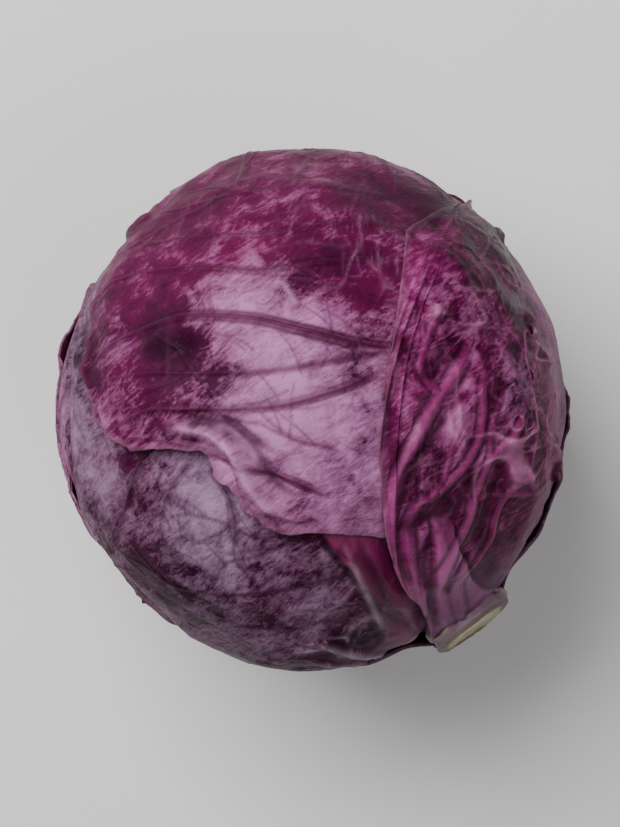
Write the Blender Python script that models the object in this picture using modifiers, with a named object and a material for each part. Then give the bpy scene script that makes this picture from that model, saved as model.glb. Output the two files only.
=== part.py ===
"""A head of red cabbage, lying on its side as cut.

A packed heart sits on the stalk, and eight wrapper leaves grow from the stalk and fold round it.
Everything is laid out from the middle of the head: a direction from there is two angles, the
distance from the stalk's axis and the turn round it, and each surface is a distance along it.
"""

from dataclasses import dataclass
from math import atan2, cos, hypot, radians, sin, tan

import bmesh
import bpy
import numpy as np
from mathutils import Matrix, Vector

# The head, in metres
HALF_WIDTH = 0.0862
HALF_HEIGHT = 0.0856
HALF_LENGTH = 0.0844
CENTRE_HEIGHT = 0.0832
CENTRE_SHIFT = (-0.0009, 0.0003)

# The flat spot it rests on: how hard it is pressed on the surface, and how sharp its edge is
PRESSED_IN = 0.0002
SPOT_SHARPNESS = 150.0

# Which way the stalk points: its turn from +X seen from above, and its rise over the surface
STALK_TURN = radians(-52)
STALK_RISE = radians(8)

# Swellings and flats of the head: turn from +X, rise, height in metres, spread
SWELLS = (
    (radians(222), radians(4), -0.0042, radians(26)),
    (radians(268), radians(8), 0.0030, radians(22)),
    (radians(92), radians(6), 0.0022, radians(26)),
    (radians(122), radians(10), -0.0018, radians(18)),
    (radians(28), radians(6), -0.0020, radians(20)),
    (radians(150), radians(52), 0.0016, radians(22)),
    (radians(20), radians(60), -0.0014, radians(20)),
)
BASE_DIMPLE = 0.0035
BASE_DIMPLE_SPREAD = radians(34)

# The leaves' blades and how they lie on each other, in metres
BLADE = 0.0010
LAYER = 0.0024
THICKEST = 0.0062

# How far a leaf still holds up the one over it, from just outside its margin to where it lets go
DRAPE = (radians(1.0), radians(20.0))
# How a rib or a curl dies away before the next leaf covers it
UNDER_COVER = (radians(4.0), radians(15.0))
# The broad filling that keeps the whole head round where many leaves lie on each other
FILLING = radians(26)
# Round the flat spot the filling is exact, so that the spot stays flat
EXACT_FILLING = (radians(22), radians(48))

# The stalk, which is a cone whose point is the middle of the head
STALK_ANGLE = radians(9.7)
LEAF_FOOT_ANGLE = radians(10.3)
LEAF_FOOT_WRAP = radians(76)
CORE_START = 0.030
STALK_END = 0.0905
STALK_BEVEL = 0.0016
STALK_SEGMENTS = 30
STALK_RINGS = 8
SOCKET_GAP = 0.0005
STALK_LOBES = 5
LOBE_DEPTH = 0.0014
LOBES_FROM = 0.074

# The heart, whose own leaves show as folds that wind round it
HEART_SEGMENTS = 34
HEART_RINGS = 18
HEART_LEAVES = 5
HEART_FOLD = 0.0012
HEART_WIND = 0.35

# A leaf's outline. Stations run along its midrib from 0 at its foot to 1 at its tip.
# The blade grows out of the stalk up to the first of these, and stays at the stalk up to the second.
BLADE_GROWN_BY = 0.14
FOOT_HELD_TO = 0.18
TIP_NARROWING = 0.42
TIP_NARROWS_OVER = (0.55, 1.05)
# A vein's row bends forward, and then back to the margin, by these at the foot of the leaf
VEIN_ROW_RISE = radians(24)
VEIN_ROW_DROP = radians(36)
VEIN_ROWS_STRAIGHTEN = 0.7
VEIN_ROWS_WRAP_LESS = 0.25
WAVED_FROM = 0.25
MARGIN_WAVE = 0.035
TIP_WAVE = radians(2.2)
TIP_WAVED_OVER = (0.85, 1.0)
# The margin's wave is a sum of these: how fast each runs, and its share
WAVES = ((9.0, 0.5), (21.0, 0.3), (38.0, 0.2))
SIDE_WAVE_PACE = 2.0
TIP_WAVE_PACE = 2.4
OUTLINE_POINTS = 48

# Ribs, in metres
MIDRIB_STATIONS = (0.0, 0.35, 1.0)
MIDRIB_HEIGHT = (0.0046, 0.0020, 0.0006)
MIDRIB_HALF_WIDTH = (0.0085, 0.0022)
MIDRIB_SHARE_OF_SIDE = (0.03, 0.33)
VEIN_HEIGHT = 0.0015
VEIN_FOOT = 0.0034
VEIN_FADE = 0.75
VEIN_FADES_OVER = (0.2, 1.0)
VEIN_END = 0.97
VEIN_STATIONS = (0.10, 0.225, 0.36, 0.50, 0.645, 0.80)
FOOT_ROW = 0.045
LAST_VEIN_ROW = 0.96
TIP_ROW = 0.90
MEAN_LENGTH = radians(150)
BLADE_COLUMNS = 7

# The margin's curl: its height in metres, how close to the margin it keeps, and how even it is
CURL = 0.0022
CURL_SHARPNESS = 6
CURL_EVENNESS = 0.6
CURL_WAVE_PACE = 3.0
TIP_CURLS_OVER = (0.8, 1.0)

# The underside is pressed flat this far round the lowest point
PRESSED = (radians(14), radians(26))


@dataclass(frozen=True)
class Leaf:
    """One wrapper leaf. Angles are in degrees, and widths are measured from the midrib.

    Each side widens over its flare's two stations. A bay in the left margin has a station, a
    spread along the leaf and a depth as a share of the width.
    """

    name: str
    turn: float
    length: float
    sweep: float
    left: float
    right: float
    left_flare: tuple
    right_flare: tuple
    seed: int
    left_bay: tuple = (0.0, 1.0, 0.0)


# From the innermost to the outermost
LEAVES = (
    Leaf("wrapper_leaf_1", -132, 168, 14, 76, 74, (-0.1, 0.50), (-0.1, 0.50), 11),
    Leaf("wrapper_leaf_2", 92, 166, -12, 76, 78, (-0.1, 0.50), (-0.1, 0.50), 12),
    Leaf("wrapper_leaf_3", -92, 160, 12, 74, 72, (-0.1, 0.50), (-0.1, 0.48), 13),
    Leaf("wrapper_leaf_4", 130, 156, -12, 70, 72, (-0.1, 0.48), (-0.1, 0.48), 14),
    Leaf("wrapper_leaf_5", 10, 152, -10, 66, 62, (-0.1, 0.42), (-0.1, 0.42), 15),
    Leaf("wrapper_leaf_6", -38, 150, 8, 116, 72, (0.10, 1.05), (-0.1, 0.46), 16, (0.72, 0.15, 0.30)),
    Leaf("wrapper_leaf_7", -8, 130, -80, 12, 54, (0.05, 0.35), (-0.1, 0.42), 17, (0.85, 0.30, 0.60)),
    Leaf("wrapper_leaf_8", 178, 136, 8, 64, 66, (-0.1, 0.46), (-0.1, 0.44), 18),
)

# Each finish: its colour, its roughness, and the angle over which an edge stays sharp
FINISHES = {
    "heart": ((0.30, 0.06, 0.20), 0.5, radians(40)),
    "stalk": ((0.42, 0.38, 0.24), 0.7, radians(40)),
    "leaf": ((0.17, 0.03, 0.10), 0.42, radians(50)),
}

# What keeps a division from a zero, and what merges the points on a turned shape's axis, in metres
TINY = 1e-9
MERGE_DISTANCE = 0.00005


def smooth_step(low, high, value):
    """0 below low, 1 above high, and a smooth rise between them."""
    share = np.clip((value - low) / (high - low), 0.0, 1.0)
    return share * share * (3.0 - 2.0 * share)


def unit(vectors):
    """The vectors at a length of 1."""
    return vectors / np.linalg.norm(vectors, axis=-1, keepdims=True)


def from_turn_and_rise(turn, rise):
    """The direction with a turn from +X seen from above and a rise over the surface."""
    return np.array([cos(rise) * cos(turn), cos(rise) * sin(turn), sin(rise)])


AXIS = from_turn_and_rise(STALK_TURN, STALK_RISE)
TOPWARD = unit(np.array([0.0, 0.0, 1.0]) - AXIS[2] * AXIS)
SIDEWARD = np.cross(AXIS, TOPWARD)
DOWN = np.array([0.0, 0.0, -1.0])
CENTRE = np.array([*CENTRE_SHIFT, CENTRE_HEIGHT])


def angle_between(directions, other):
    """The angle from each direction to another one."""
    return np.arccos(np.clip(directions @ other, -1.0, 1.0))


def head_form(directions):
    """How far the outermost skin lies from the middle of the head."""
    along = directions @ AXIS / HALF_LENGTH
    above = directions @ TOPWARD / HALF_HEIGHT
    beside = directions @ SIDEWARD / HALF_WIDTH
    form = 1.0 / np.sqrt(along**2 + above**2 + beside**2)
    for turn, rise, height, spread in SWELLS:
        off = angle_between(directions, from_turn_and_rise(turn, rise))
        form += height * np.exp(-((off / spread) ** 2))
    form -= BASE_DIMPLE * np.exp(-((angle_between(directions, AXIS) / BASE_DIMPLE_SPREAD) ** 2))
    to_surface = (CENTRE_HEIGHT + PRESSED_IN) / np.maximum(directions @ DOWN, 0.05)
    nearer = np.minimum(form, to_surface)
    summed = (nearer / form) ** SPOT_SHARPNESS + (nearer / to_surface) ** SPOT_SHARPNESS
    return nearer * summed ** (-1.0 / SPOT_SHARPNESS)


class LeafPlane:
    """A leaf spread flat, as angles across and along it, and how that wraps onto the head."""

    MIDDLE = radians(82)

    def __init__(self, leaf):
        self.leaf = leaf
        turn = radians(leaf.turn)
        outward = cos(turn) * TOPWARD + sin(turn) * SIDEWARD
        self.middle = cos(self.MIDDLE) * AXIS + sin(self.MIDDLE) * outward
        self.forward = -sin(self.MIDDLE) * AXIS + cos(self.MIDDLE) * outward
        self.across = -sin(turn) * TOPWARD + cos(turn) * SIDEWARD
        generator = np.random.default_rng(leaf.seed)
        self.phases = generator.uniform(0.0, 2.0 * np.pi, 8)
        self.outline = self.margin()

    def half_width(self, along, share):
        """The blade's reach from the midrib, in radians, on the side that share's sign gives."""
        leaf = self.leaf
        foot = LEAF_FOOT_ANGLE * sin(LEAF_FOOT_WRAP)
        shape = 1.0 - TIP_NARROWING * smooth_step(*TIP_NARROWS_OVER, along)
        shape = shape * smooth_step(0.0, BLADE_GROWN_BY, along)
        left = foot + (radians(leaf.left) - foot) * smooth_step(*leaf.left_flare, along) * shape
        right = foot + (radians(leaf.right) - foot) * smooth_step(*leaf.right_flare, along) * shape
        station, spread, depth = leaf.left_bay
        left = left * (1.0 - depth * np.exp(-(((along - station) / spread) ** 2)))
        return np.where(share >= 0, left, right)

    def wave(self, value, first):
        """A wandering line between -1 and 1, for margins."""
        phases = self.phases[first:]
        return sum(part * np.sin(pace * value + phase) for (pace, part), phase in zip(WAVES, phases))

    def flat(self, along, share):
        """Where a point of the blade lies on the flat leaf: along the midrib from 0 to 1, and
        out from it along a vein from 0 to 1, or to -1 on the right."""
        leaf = self.leaf
        length = radians(leaf.length)
        bend = radians(leaf.sweep) + TINY
        heading = bend * along
        mid_x = length / bend * (1.0 - np.cos(heading))
        mid_y = length / bend * np.sin(heading) + LEAF_FOOT_ANGLE - self.MIDDLE
        out = np.abs(share)
        wrap = LEAF_FOOT_WRAP * (1.0 - VEIN_ROWS_WRAP_LESS * along)
        reach = self.half_width(along, share) * np.sin(wrap * out) / np.sin(wrap)
        grown = smooth_step(0.0, WAVED_FROM, along)
        side_wave = self.wave(along * SIDE_WAVE_PACE + np.sign(share), 0)
        reach = reach * (1.0 + MARGIN_WAVE * grown * out**4 * side_wave)
        foot_drop = LEAF_FOOT_ANGLE * (1.0 - cos(LEAF_FOOT_WRAP))
        drop = foot_drop + (VEIN_ROW_DROP - foot_drop) * along**0.8
        drop = drop * (1.0 - np.cos(wrap * out)) / (1.0 - np.cos(wrap))
        rise = VEIN_ROW_RISE * (1.0 - VEIN_ROWS_STRAIGHTEN * along) * grown * 4.0 * out * (1.0 - out) ** 2
        tip_wave = smooth_step(*TIP_WAVED_OVER, along) * self.wave(share * TIP_WAVE_PACE, 3)
        ahead = rise - drop + TIP_WAVE * tip_wave
        sidelong = np.where(share >= 0, reach, -reach)
        x = mid_x + np.cos(heading) * sidelong + np.sin(heading) * ahead
        y = mid_y - np.sin(heading) * sidelong + np.cos(heading) * ahead
        at_foot = 1.0 - smooth_step(0.0, FOOT_HELD_TO, along)
        return np.stack([x, y], -1) + at_foot[..., None] * self.foot_shift(share)

    def foot_shift(self, share):
        """What brings the foot on the flat leaf to the ring round the stalk where it grows."""
        turn = LEAF_FOOT_WRAP * share
        plain = np.stack([LEAF_FOOT_ANGLE * np.sin(turn), LEAF_FOOT_ANGLE * np.cos(turn) - self.MIDDLE], -1)
        turn = (turn + radians(self.leaf.turn))[..., None]
        ring = np.cos(turn) * TOPWARD + np.sin(turn) * SIDEWARD
        return self.spread(cos(LEAF_FOOT_ANGLE) * AXIS + sin(LEAF_FOOT_ANGLE) * ring) - plain

    def margin(self):
        """The leaf's outline on the flat leaf, as a closed run of points."""
        up = np.linspace(0.0, 1.0, OUTLINE_POINTS)[:-1]
        over = np.linspace(1.0, -1.0, OUTLINE_POINTS)[:-1]
        return np.concatenate(
            [
                self.flat(up, np.full_like(up, 1.0)),
                self.flat(np.full_like(over, 1.0), over),
                self.flat(up[::-1] + (1.0 - up[-1]), np.full_like(up, -1.0)),
                self.flat(np.zeros_like(over), -over),
            ]
        )

    def direction(self, flat):
        """The direction from the middle of the head at a point of the flat leaf."""
        off = np.maximum(np.hypot(flat[..., 0], flat[..., 1]), TINY)[..., None]
        aim = (flat[..., :1] * self.across + flat[..., 1:] * self.forward) / off
        return np.cos(off) * self.middle + np.sin(off) * aim

    def spread(self, directions):
        """The point of the flat leaf that wraps to a direction."""
        off = angle_between(directions, self.middle)[..., None]
        aim = np.stack([directions @ self.across, directions @ self.forward], -1)
        reach = np.linalg.norm(aim, axis=-1, keepdims=True)
        return off * np.where(reach > TINY, aim / np.maximum(reach, TINY), (1.0, 0.0))

    def outside(self, directions):
        """How far, in radians, a direction is outside the leaf's margin; negative inside it."""
        points = self.spread(directions).reshape(-1, 1, 2)
        start = self.outline[None]
        end = np.roll(self.outline, -1, axis=0)[None]
        edge = end - start
        share = np.clip(((points - start) * edge).sum(-1) / (edge**2).sum(-1), 0.0, 1.0)
        nearest = np.linalg.norm(points - start - share[..., None] * edge, axis=-1).min(1)
        spans = (start[..., 1] > points[..., 1]) != (end[..., 1] > points[..., 1])
        rise = np.where(np.abs(edge[..., 1]) < TINY, TINY, edge[..., 1])
        crossing = start[..., 0] + (points[..., 1] - start[..., 1]) / rise * edge[..., 0]
        inside = (spans & (points[..., 0] < crossing)).sum(1) % 2 == 1
        return np.where(inside, -nearest, nearest).reshape(directions.shape[:-1])


class Head:
    """All the leaves on each other: how far each one lies from the middle of the head."""

    def __init__(self, leaves):
        self.planes = [LeafPlane(leaf) for leaf in leaves]

    def heart(self, directions):
        """The packed heart's skin: the head's form less what the wrapper leaves take up."""
        outsides = [plane.outside(directions) for plane in self.planes]
        broad = sum(1.0 - smooth_step(-FILLING, FILLING, outside) for outside in outsides)
        exact = sum(1.0 - smooth_step(*DRAPE, outside) for outside in outsides)
        away = smooth_step(*EXACT_FILLING, angle_between(directions, DOWN))
        return head_form(directions) - LAYER * (exact + (broad - exact) * away)

    def underneath(self, index, directions):
        """The inner face of leaf number index: the heart, and each leaf below it."""
        held_up = sum(
            1.0 - smooth_step(*DRAPE, plane.outside(directions)) for plane in self.planes[:index]
        )
        return self.heart(directions) + (LAYER - BLADE) + LAYER * held_up

    def bare(self, index, directions):
        """1 where leaf number index shows, and 0 where another leaf covers it."""
        shown = np.ones(directions.shape[:-1])
        for plane in self.planes[index + 1 :]:
            shown *= smooth_step(*UNDER_COVER, plane.outside(directions))
        return shown


def rib_rows():
    """Stations along the midrib: a vein's foot, crest and other foot, and the blade between veins."""
    foot = VEIN_FOOT / (HALF_WIDTH * MEAN_LENGTH)
    rows = [0.0, FOOT_ROW]
    ends = (*VEIN_STATIONS[1:], LAST_VEIN_ROW)
    for station, following in zip(VEIN_STATIONS, ends):
        rows += [station - foot, station, station + foot, (station + following) / 2]
    return np.array([*rows[:-1], TIP_ROW, 1.0])


def rib_columns(plane, along):
    """Stations out from the midrib for each row, with one at each foot of the midrib."""
    half = np.interp(along, (0.0, 1.0), MIDRIB_HALF_WIDTH) / HALF_WIDTH
    columns = []
    for side in (-1.0, 1.0):
        width = plane.half_width(along, np.full_like(along, side))
        foot = np.clip(half / width, *MIDRIB_SHARE_OF_SIDE)
        blade = [foot + (1.0 - foot) * n / BLADE_COLUMNS for n in range(BLADE_COLUMNS + 1)]
        columns.append(side * np.stack(blade, -1))
    left = columns[0][:, ::-1]
    return np.concatenate([left, np.zeros((len(along), 1)), columns[1]], axis=1)


def rib_relief(along, share, foot_share):
    """How far the midrib and the veins stand out from the blade, in metres."""
    out = np.abs(share)
    midrib = np.interp(along, MIDRIB_STATIONS, MIDRIB_HEIGHT)
    midrib = midrib * np.clip(1.0 - out / foot_share, 0.0, 1.0)
    crest = np.isclose(along[..., None], np.array(VEIN_STATIONS)).any(-1)
    fade = 1.0 - VEIN_FADE * smooth_step(*VEIN_FADES_OVER, out)
    veins = np.where(crest & (out < VEIN_END), VEIN_HEIGHT * fade, 0.0)
    return np.maximum(midrib, veins)


def new_object(name, mesh, finish, collection):
    """A smooth object in the collection, with its own material."""
    colour, roughness, sharp_from = FINISHES[finish]
    mesh.shade_smooth()
    mesh.set_sharp_from_angle(angle=sharp_from)
    material = bpy.data.materials.new(name)
    material.use_nodes = True
    shader = material.node_tree.nodes["Principled BSDF"]
    shader.inputs["Base Color"].default_value = (*colour, 1.0)
    shader.inputs["Roughness"].default_value = roughness
    shader.inputs["Metallic"].default_value = 0.0
    mesh.materials.clear()
    mesh.materials.append(material)
    made = bpy.data.objects.new(name, mesh)
    collection.objects.link(made)
    return made


def applied(source, name):
    """The object's mesh with its modifiers applied. The object itself is removed."""
    graph = bpy.context.evaluated_depsgraph_get()
    mesh = bpy.data.meshes.new_from_object(source.evaluated_get(graph))
    mesh.name = name
    bpy.data.objects.remove(source)
    return mesh


def press_flat(mesh):
    """Presses what would reach below the surface flat onto it."""
    for vertex in mesh.vertices:
        vertex.co.z = max(vertex.co.z, 0.0)


def build_leaf(head, index, collection):
    """A wrapper leaf: a grid wrapped over what it lies on, then thickened into blade and ribs."""
    plane = head.planes[index]
    leaf = plane.leaf
    rows = rib_rows()
    share = rib_columns(plane, rows)
    along = np.repeat(rows[:, None], share.shape[1], axis=1)
    foot = np.abs(share[:, [BLADE_COLUMNS, BLADE_COLUMNS + 2]])
    foot_share = np.where(share < 0, foot[:, :1], foot[:, 1:])

    directions = plane.direction(plane.flat(along, share))
    bare = head.bare(index, directions)
    pressed = smooth_step(*PRESSED, angle_between(directions, DOWN))
    edge = np.maximum(np.abs(share), smooth_step(*TIP_CURLS_OVER, along)) ** CURL_SHARPNESS
    wave = plane.wave(along * CURL_WAVE_PACE + share, 4)
    lift = CURL * edge * bare * pressed * (CURL_EVENNESS + (1.0 - CURL_EVENNESS) * wave)
    inner = head.underneath(index, directions) + lift
    relief = rib_relief(along, share, foot_share) * bare * pressed
    points = CENTRE + directions * inner[..., None]

    form = bmesh.new()
    bmesh.ops.create_grid(form, x_segments=share.shape[1] - 1, y_segments=len(rows) - 1, size=1.0)
    form.verts.ensure_lookup_table()
    for vertex, point in zip(form.verts, points.reshape(-1, 3)):
        vertex.co = point
    bmesh.ops.triangulate(form, faces=form.faces, quad_method="SHORT_EDGE")
    form.normal_update()
    outward = [(face.calc_center_median() - Vector(CENTRE)).dot(face.normal) for face in form.faces]
    if np.mean(outward) < 0:
        bmesh.ops.reverse_faces(form, faces=form.faces)
    sheet = bpy.data.meshes.new(leaf.name + "_sheet")
    form.to_mesh(sheet)
    form.free()

    blank = bpy.data.objects.new(leaf.name + "_sheet", sheet)
    collection.objects.link(blank)
    weights = blank.vertex_groups.new(name="thickness")
    for number, thickness in enumerate((BLADE + relief).ravel()):
        weights.add([number], thickness / THICKEST, "REPLACE")
    solid = blank.modifiers.new("thickness", "SOLIDIFY")
    solid.thickness = THICKEST
    solid.offset = 1.0
    solid.vertex_group = "thickness"
    solid.use_rim = True
    mesh = applied(blank, leaf.name)
    press_flat(mesh)
    return new_object(leaf.name, mesh, "leaf", collection)


def onto_the_axis():
    """The placement that turns +Z into the stalk's axis."""
    frame = np.eye(4)
    frame[:3] = np.stack([TOPWARD, SIDEWARD, AXIS, CENTRE], 1)
    return Matrix(frame.tolist())


def turned(name, profile, collection):
    """A closed turned shape about +Z from a profile of (radius, height) that runs down its outside."""
    mesh = bpy.data.meshes.new(name)
    points = [(radius, 0.0, height) for radius, height in profile]
    mesh.from_pydata(points, [(n, n + 1) for n in range(len(profile) - 1)], [])
    blank = bpy.data.objects.new(name, mesh)
    collection.objects.link(blank)
    screw = blank.modifiers.new("turn", "SCREW")
    screw.steps = STALK_SEGMENTS
    screw.render_steps = STALK_SEGMENTS
    screw.use_merge_vertices = True
    screw.merge_threshold = MERGE_DISTANCE
    return applied(blank, name)


def stalk_profile(grown=0.0):
    """The stalk and the core that runs on from it into the heart, outward face first."""
    heights = np.linspace(STALK_END - STALK_BEVEL, CORE_START, STALK_RINGS)
    side = [(tan(STALK_ANGLE) * height + grown, height) for height in heights]
    rim = (side[0][0] - STALK_BEVEL, STALK_END + grown)
    tip = (0.0, CORE_START - 2 * STALK_BEVEL - grown)
    return [(0.0, STALK_END - STALK_BEVEL / 2 + grown), (rim[0] / 2, rim[1]), rim, *side, tip]


def build_stalk(collection):
    """The cut stalk with the scars of the leaves that were trimmed off it."""
    mesh = turned("stalk", stalk_profile(), collection)
    for vertex in mesh.vertices:
        radius = hypot(vertex.co.x, vertex.co.y)
        if vertex.co.z < LOBES_FROM or radius < 2 * STALK_BEVEL:
            continue
        lobe = 0.5 - 0.5 * cos(STALK_LOBES * atan2(vertex.co.y, vertex.co.x) + 2 * vertex.co.z / LOBES_FROM)
        kept = 1.0 - LOBE_DEPTH * lobe / radius
        vertex.co.x *= kept
        vertex.co.y *= kept
    mesh.transform(onto_the_axis())
    return new_object("stalk", mesh, "stalk", collection)


def build_heart(head, collection, cutters):
    """The packed inner leaves, with a socket for the core."""
    bpy.ops.mesh.primitive_uv_sphere_add(segments=HEART_SEGMENTS, ring_count=HEART_RINGS, radius=1.0)
    ball = bpy.context.object
    mesh = ball.data
    mesh.name = "heart"
    co = np.empty(len(mesh.vertices) * 3)
    mesh.vertices.foreach_get("co", co)
    local = unit(co.reshape(-1, 3))
    directions = local @ np.stack([TOPWARD, SIDEWARD, AXIS])
    turn = np.arctan2(local[:, 1], local[:, 0])
    tilt = np.arccos(np.clip(local[:, 2], -1.0, 1.0))
    spiral = (HEART_LEAVES * (turn / (2 * np.pi) + HEART_WIND * tilt / np.pi)) % 1.0
    folds = HEART_FOLD * (1.0 - spiral) * np.sin(tilt)
    points = CENTRE + directions * (head.heart(directions) - folds)[:, None]
    mesh.vertices.foreach_set("co", points.ravel())
    mesh.update()
    bpy.data.objects.remove(ball)
    made = new_object("heart", mesh, "heart", collection)

    socket = turned("core_socket", stalk_profile(SOCKET_GAP), cutters)
    socket.transform(onto_the_axis())
    cutter = bpy.data.objects.new("core_socket", socket)
    cutter.hide_render = True
    cutter.display_type = "WIRE"
    cutters.objects.link(cutter)
    cut = made.modifiers.new("core_socket", "BOOLEAN")
    cut.operation = "DIFFERENCE"
    cut.object = cutter
    return made


def clear_scene():
    """Removes what the scene starts with."""
    for left_over in list(bpy.data.objects):
        bpy.data.objects.remove(left_over)


def new_collection(name):
    """A collection in the scene."""
    made = bpy.data.collections.new(name)
    bpy.context.scene.collection.children.link(made)
    return made


def main():
    """Builds the whole head."""
    clear_scene()
    cabbage = new_collection("cabbage_head")
    cutters = new_collection("cutters")
    head = Head(LEAVES)
    build_heart(head, cabbage, cutters)
    build_stalk(cabbage)
    for index in range(len(LEAVES)):
        build_leaf(head, index, cabbage)


main()
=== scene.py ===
"""A head of red cabbage lying on its side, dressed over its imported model.

Every surface is laid out from the middle of the head. A direction from there is a unit vector, and
a skin is a distance along it. A leaf is drawn flat first, as angles across and along it, and then
wrapped onto what it lies on.
"""

from __future__ import annotations

import logging
from dataclasses import dataclass
from enum import Enum
from math import cos, pi, radians, sin, tan
from typing import Any, Callable, ClassVar, Sequence, Union

import bpy
import numpy as np
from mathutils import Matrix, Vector
from mathutils.kdtree import KDTree

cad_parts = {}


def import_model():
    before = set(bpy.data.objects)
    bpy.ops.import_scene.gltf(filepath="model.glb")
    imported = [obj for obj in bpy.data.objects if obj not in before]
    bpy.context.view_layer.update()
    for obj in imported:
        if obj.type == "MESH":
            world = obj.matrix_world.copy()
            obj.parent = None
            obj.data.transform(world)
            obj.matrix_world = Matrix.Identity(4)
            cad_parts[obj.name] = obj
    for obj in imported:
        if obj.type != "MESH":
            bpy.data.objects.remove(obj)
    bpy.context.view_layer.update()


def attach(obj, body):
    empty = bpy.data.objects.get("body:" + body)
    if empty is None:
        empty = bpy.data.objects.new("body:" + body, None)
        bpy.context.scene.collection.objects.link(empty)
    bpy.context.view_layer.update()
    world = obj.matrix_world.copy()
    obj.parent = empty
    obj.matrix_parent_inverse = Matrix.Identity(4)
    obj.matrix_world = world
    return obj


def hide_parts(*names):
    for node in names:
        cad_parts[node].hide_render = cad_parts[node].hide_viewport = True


LOG = logging.getLogger("cabbage")

Array = np.ndarray
Colour = tuple[float, float, float]
Pair = tuple[float, float]
Triple = tuple[float, float, float]
Radii = Callable[[Array], Array]

DOWN = np.array([0.0, 0.0, -1.0])
# Millimetres in a metre, for what is drawn in millimetres
MILLIMETRES = 1000.0
# Keeps a division from a zero
TINY = 1e-9
# What scatters the number of a cell and a seed, and the largest number that comes of it
CELL_FACTORS = (374761393, 668265263, 2246822519)
SEED_FACTOR = 3266489917
MIXING_FACTOR = 1274126177
MIXING_SHIFTS = (13, 16)
HALF_RANGE = 2147483647.5
# The waves of a margin's wandering line: how fast each runs, and its share of the whole
MARGIN_WAVES = ((9.0, 0.5), (21.0, 0.3), (38.0, 0.2))


def smooth_step(low: float, high: float, value: Array) -> Array:
    """0 below low, 1 above high, and a smooth rise between them."""
    share = np.clip((value - low) / (high - low), 0.0, 1.0)
    return share * share * (3.0 - 2.0 * share)


def bell(off: Array, spread: float = 1.0) -> Array:
    """1 where off is 0, and falling away smoothly to both sides of it."""
    return np.exp(-((off / spread) ** 2))


def from_turn_and_rise(turn: float, rise: float) -> Array:
    """The direction with a turn from +X seen from above and a rise over the surface, in degrees."""
    turn, rise = radians(turn), radians(rise)
    return np.array([cos(rise) * cos(turn), cos(rise) * sin(turn), sin(rise)])


def angle_between(directions: Array, other: Array) -> Array:
    """The angle from each direction to another one, in radians."""
    return np.arccos(np.clip(directions @ other, -1.0, 1.0))


@dataclass(frozen=True)
class Grain:
    """Soft seeded noise in space, for uneven growth and crumpling."""

    seed: int
    origin: float = 4096.0
    finer: float = 0.5
    weaker: float = 0.6
    warp_size: float = 1.7
    warp: float = 0.35

    def _lattice(self, cell: Array) -> Array:
        """A fixed value between -1 and 1 for each whole cell."""
        mixed = np.full(cell.shape[:-1], self.seed * SEED_FACTOR % 2**32, dtype=np.uint32)
        for axis, factor in enumerate(CELL_FACTORS):
            mixed = mixed + cell[..., axis].astype(np.uint32) * np.uint32(factor)
        mixed = (mixed ^ (mixed >> np.uint32(MIXING_SHIFTS[0]))) * np.uint32(MIXING_FACTOR)
        mixed = mixed ^ (mixed >> np.uint32(MIXING_SHIFTS[1]))
        return mixed.astype(np.float64) / HALF_RANGE - 1.0

    def at(self, points: Array, size: float) -> Array:
        """Noise between about -1 and 1.

        Args:
            points: Places in metres, (..., 3).
            size: The width of one swelling, in metres.

        Returns:
            The noise at each place.
        """
        scaled = points / size + self.origin
        cell = np.floor(scaled)
        part = scaled - cell
        blend = part**3 * (part * (part * 6.0 - 15.0) + 10.0)
        cell = cell.astype(np.int64)
        total = np.zeros(points.shape[:-1])
        for corner in range(8):
            step = np.array([corner & 1, corner >> 1 & 1, corner >> 2 & 1])
            weight = np.prod(np.where(step == 1, blend, 1.0 - blend), axis=-1)
            total += weight * self._lattice(cell + step)
        return total

    def layered(self, points: Array, size: float, layers: int = 3) -> Array:
        """Noise with finer noise on it, each layer half as wide and somewhat weaker."""
        return sum(
            Grain(self.seed + 17 * layer).at(points, size * self.finer**layer) * self.weaker**layer
            for layer in range(layers)
        )

    def creases(self, points: Array, size: float, sharpness: float) -> Array:
        """Narrow meandering crests between 0 and 1, as on crumpled skin."""
        pushed = [Grain(self.seed + n).at(points, size * self.warp_size) for n in (5, 6, 7)]
        ridge = 1.0 - np.abs(self.at(points + self.warp * size * np.stack(pushed, -1), size))
        return np.clip(ridge, 0.0, 1.0) ** sharpness


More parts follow.
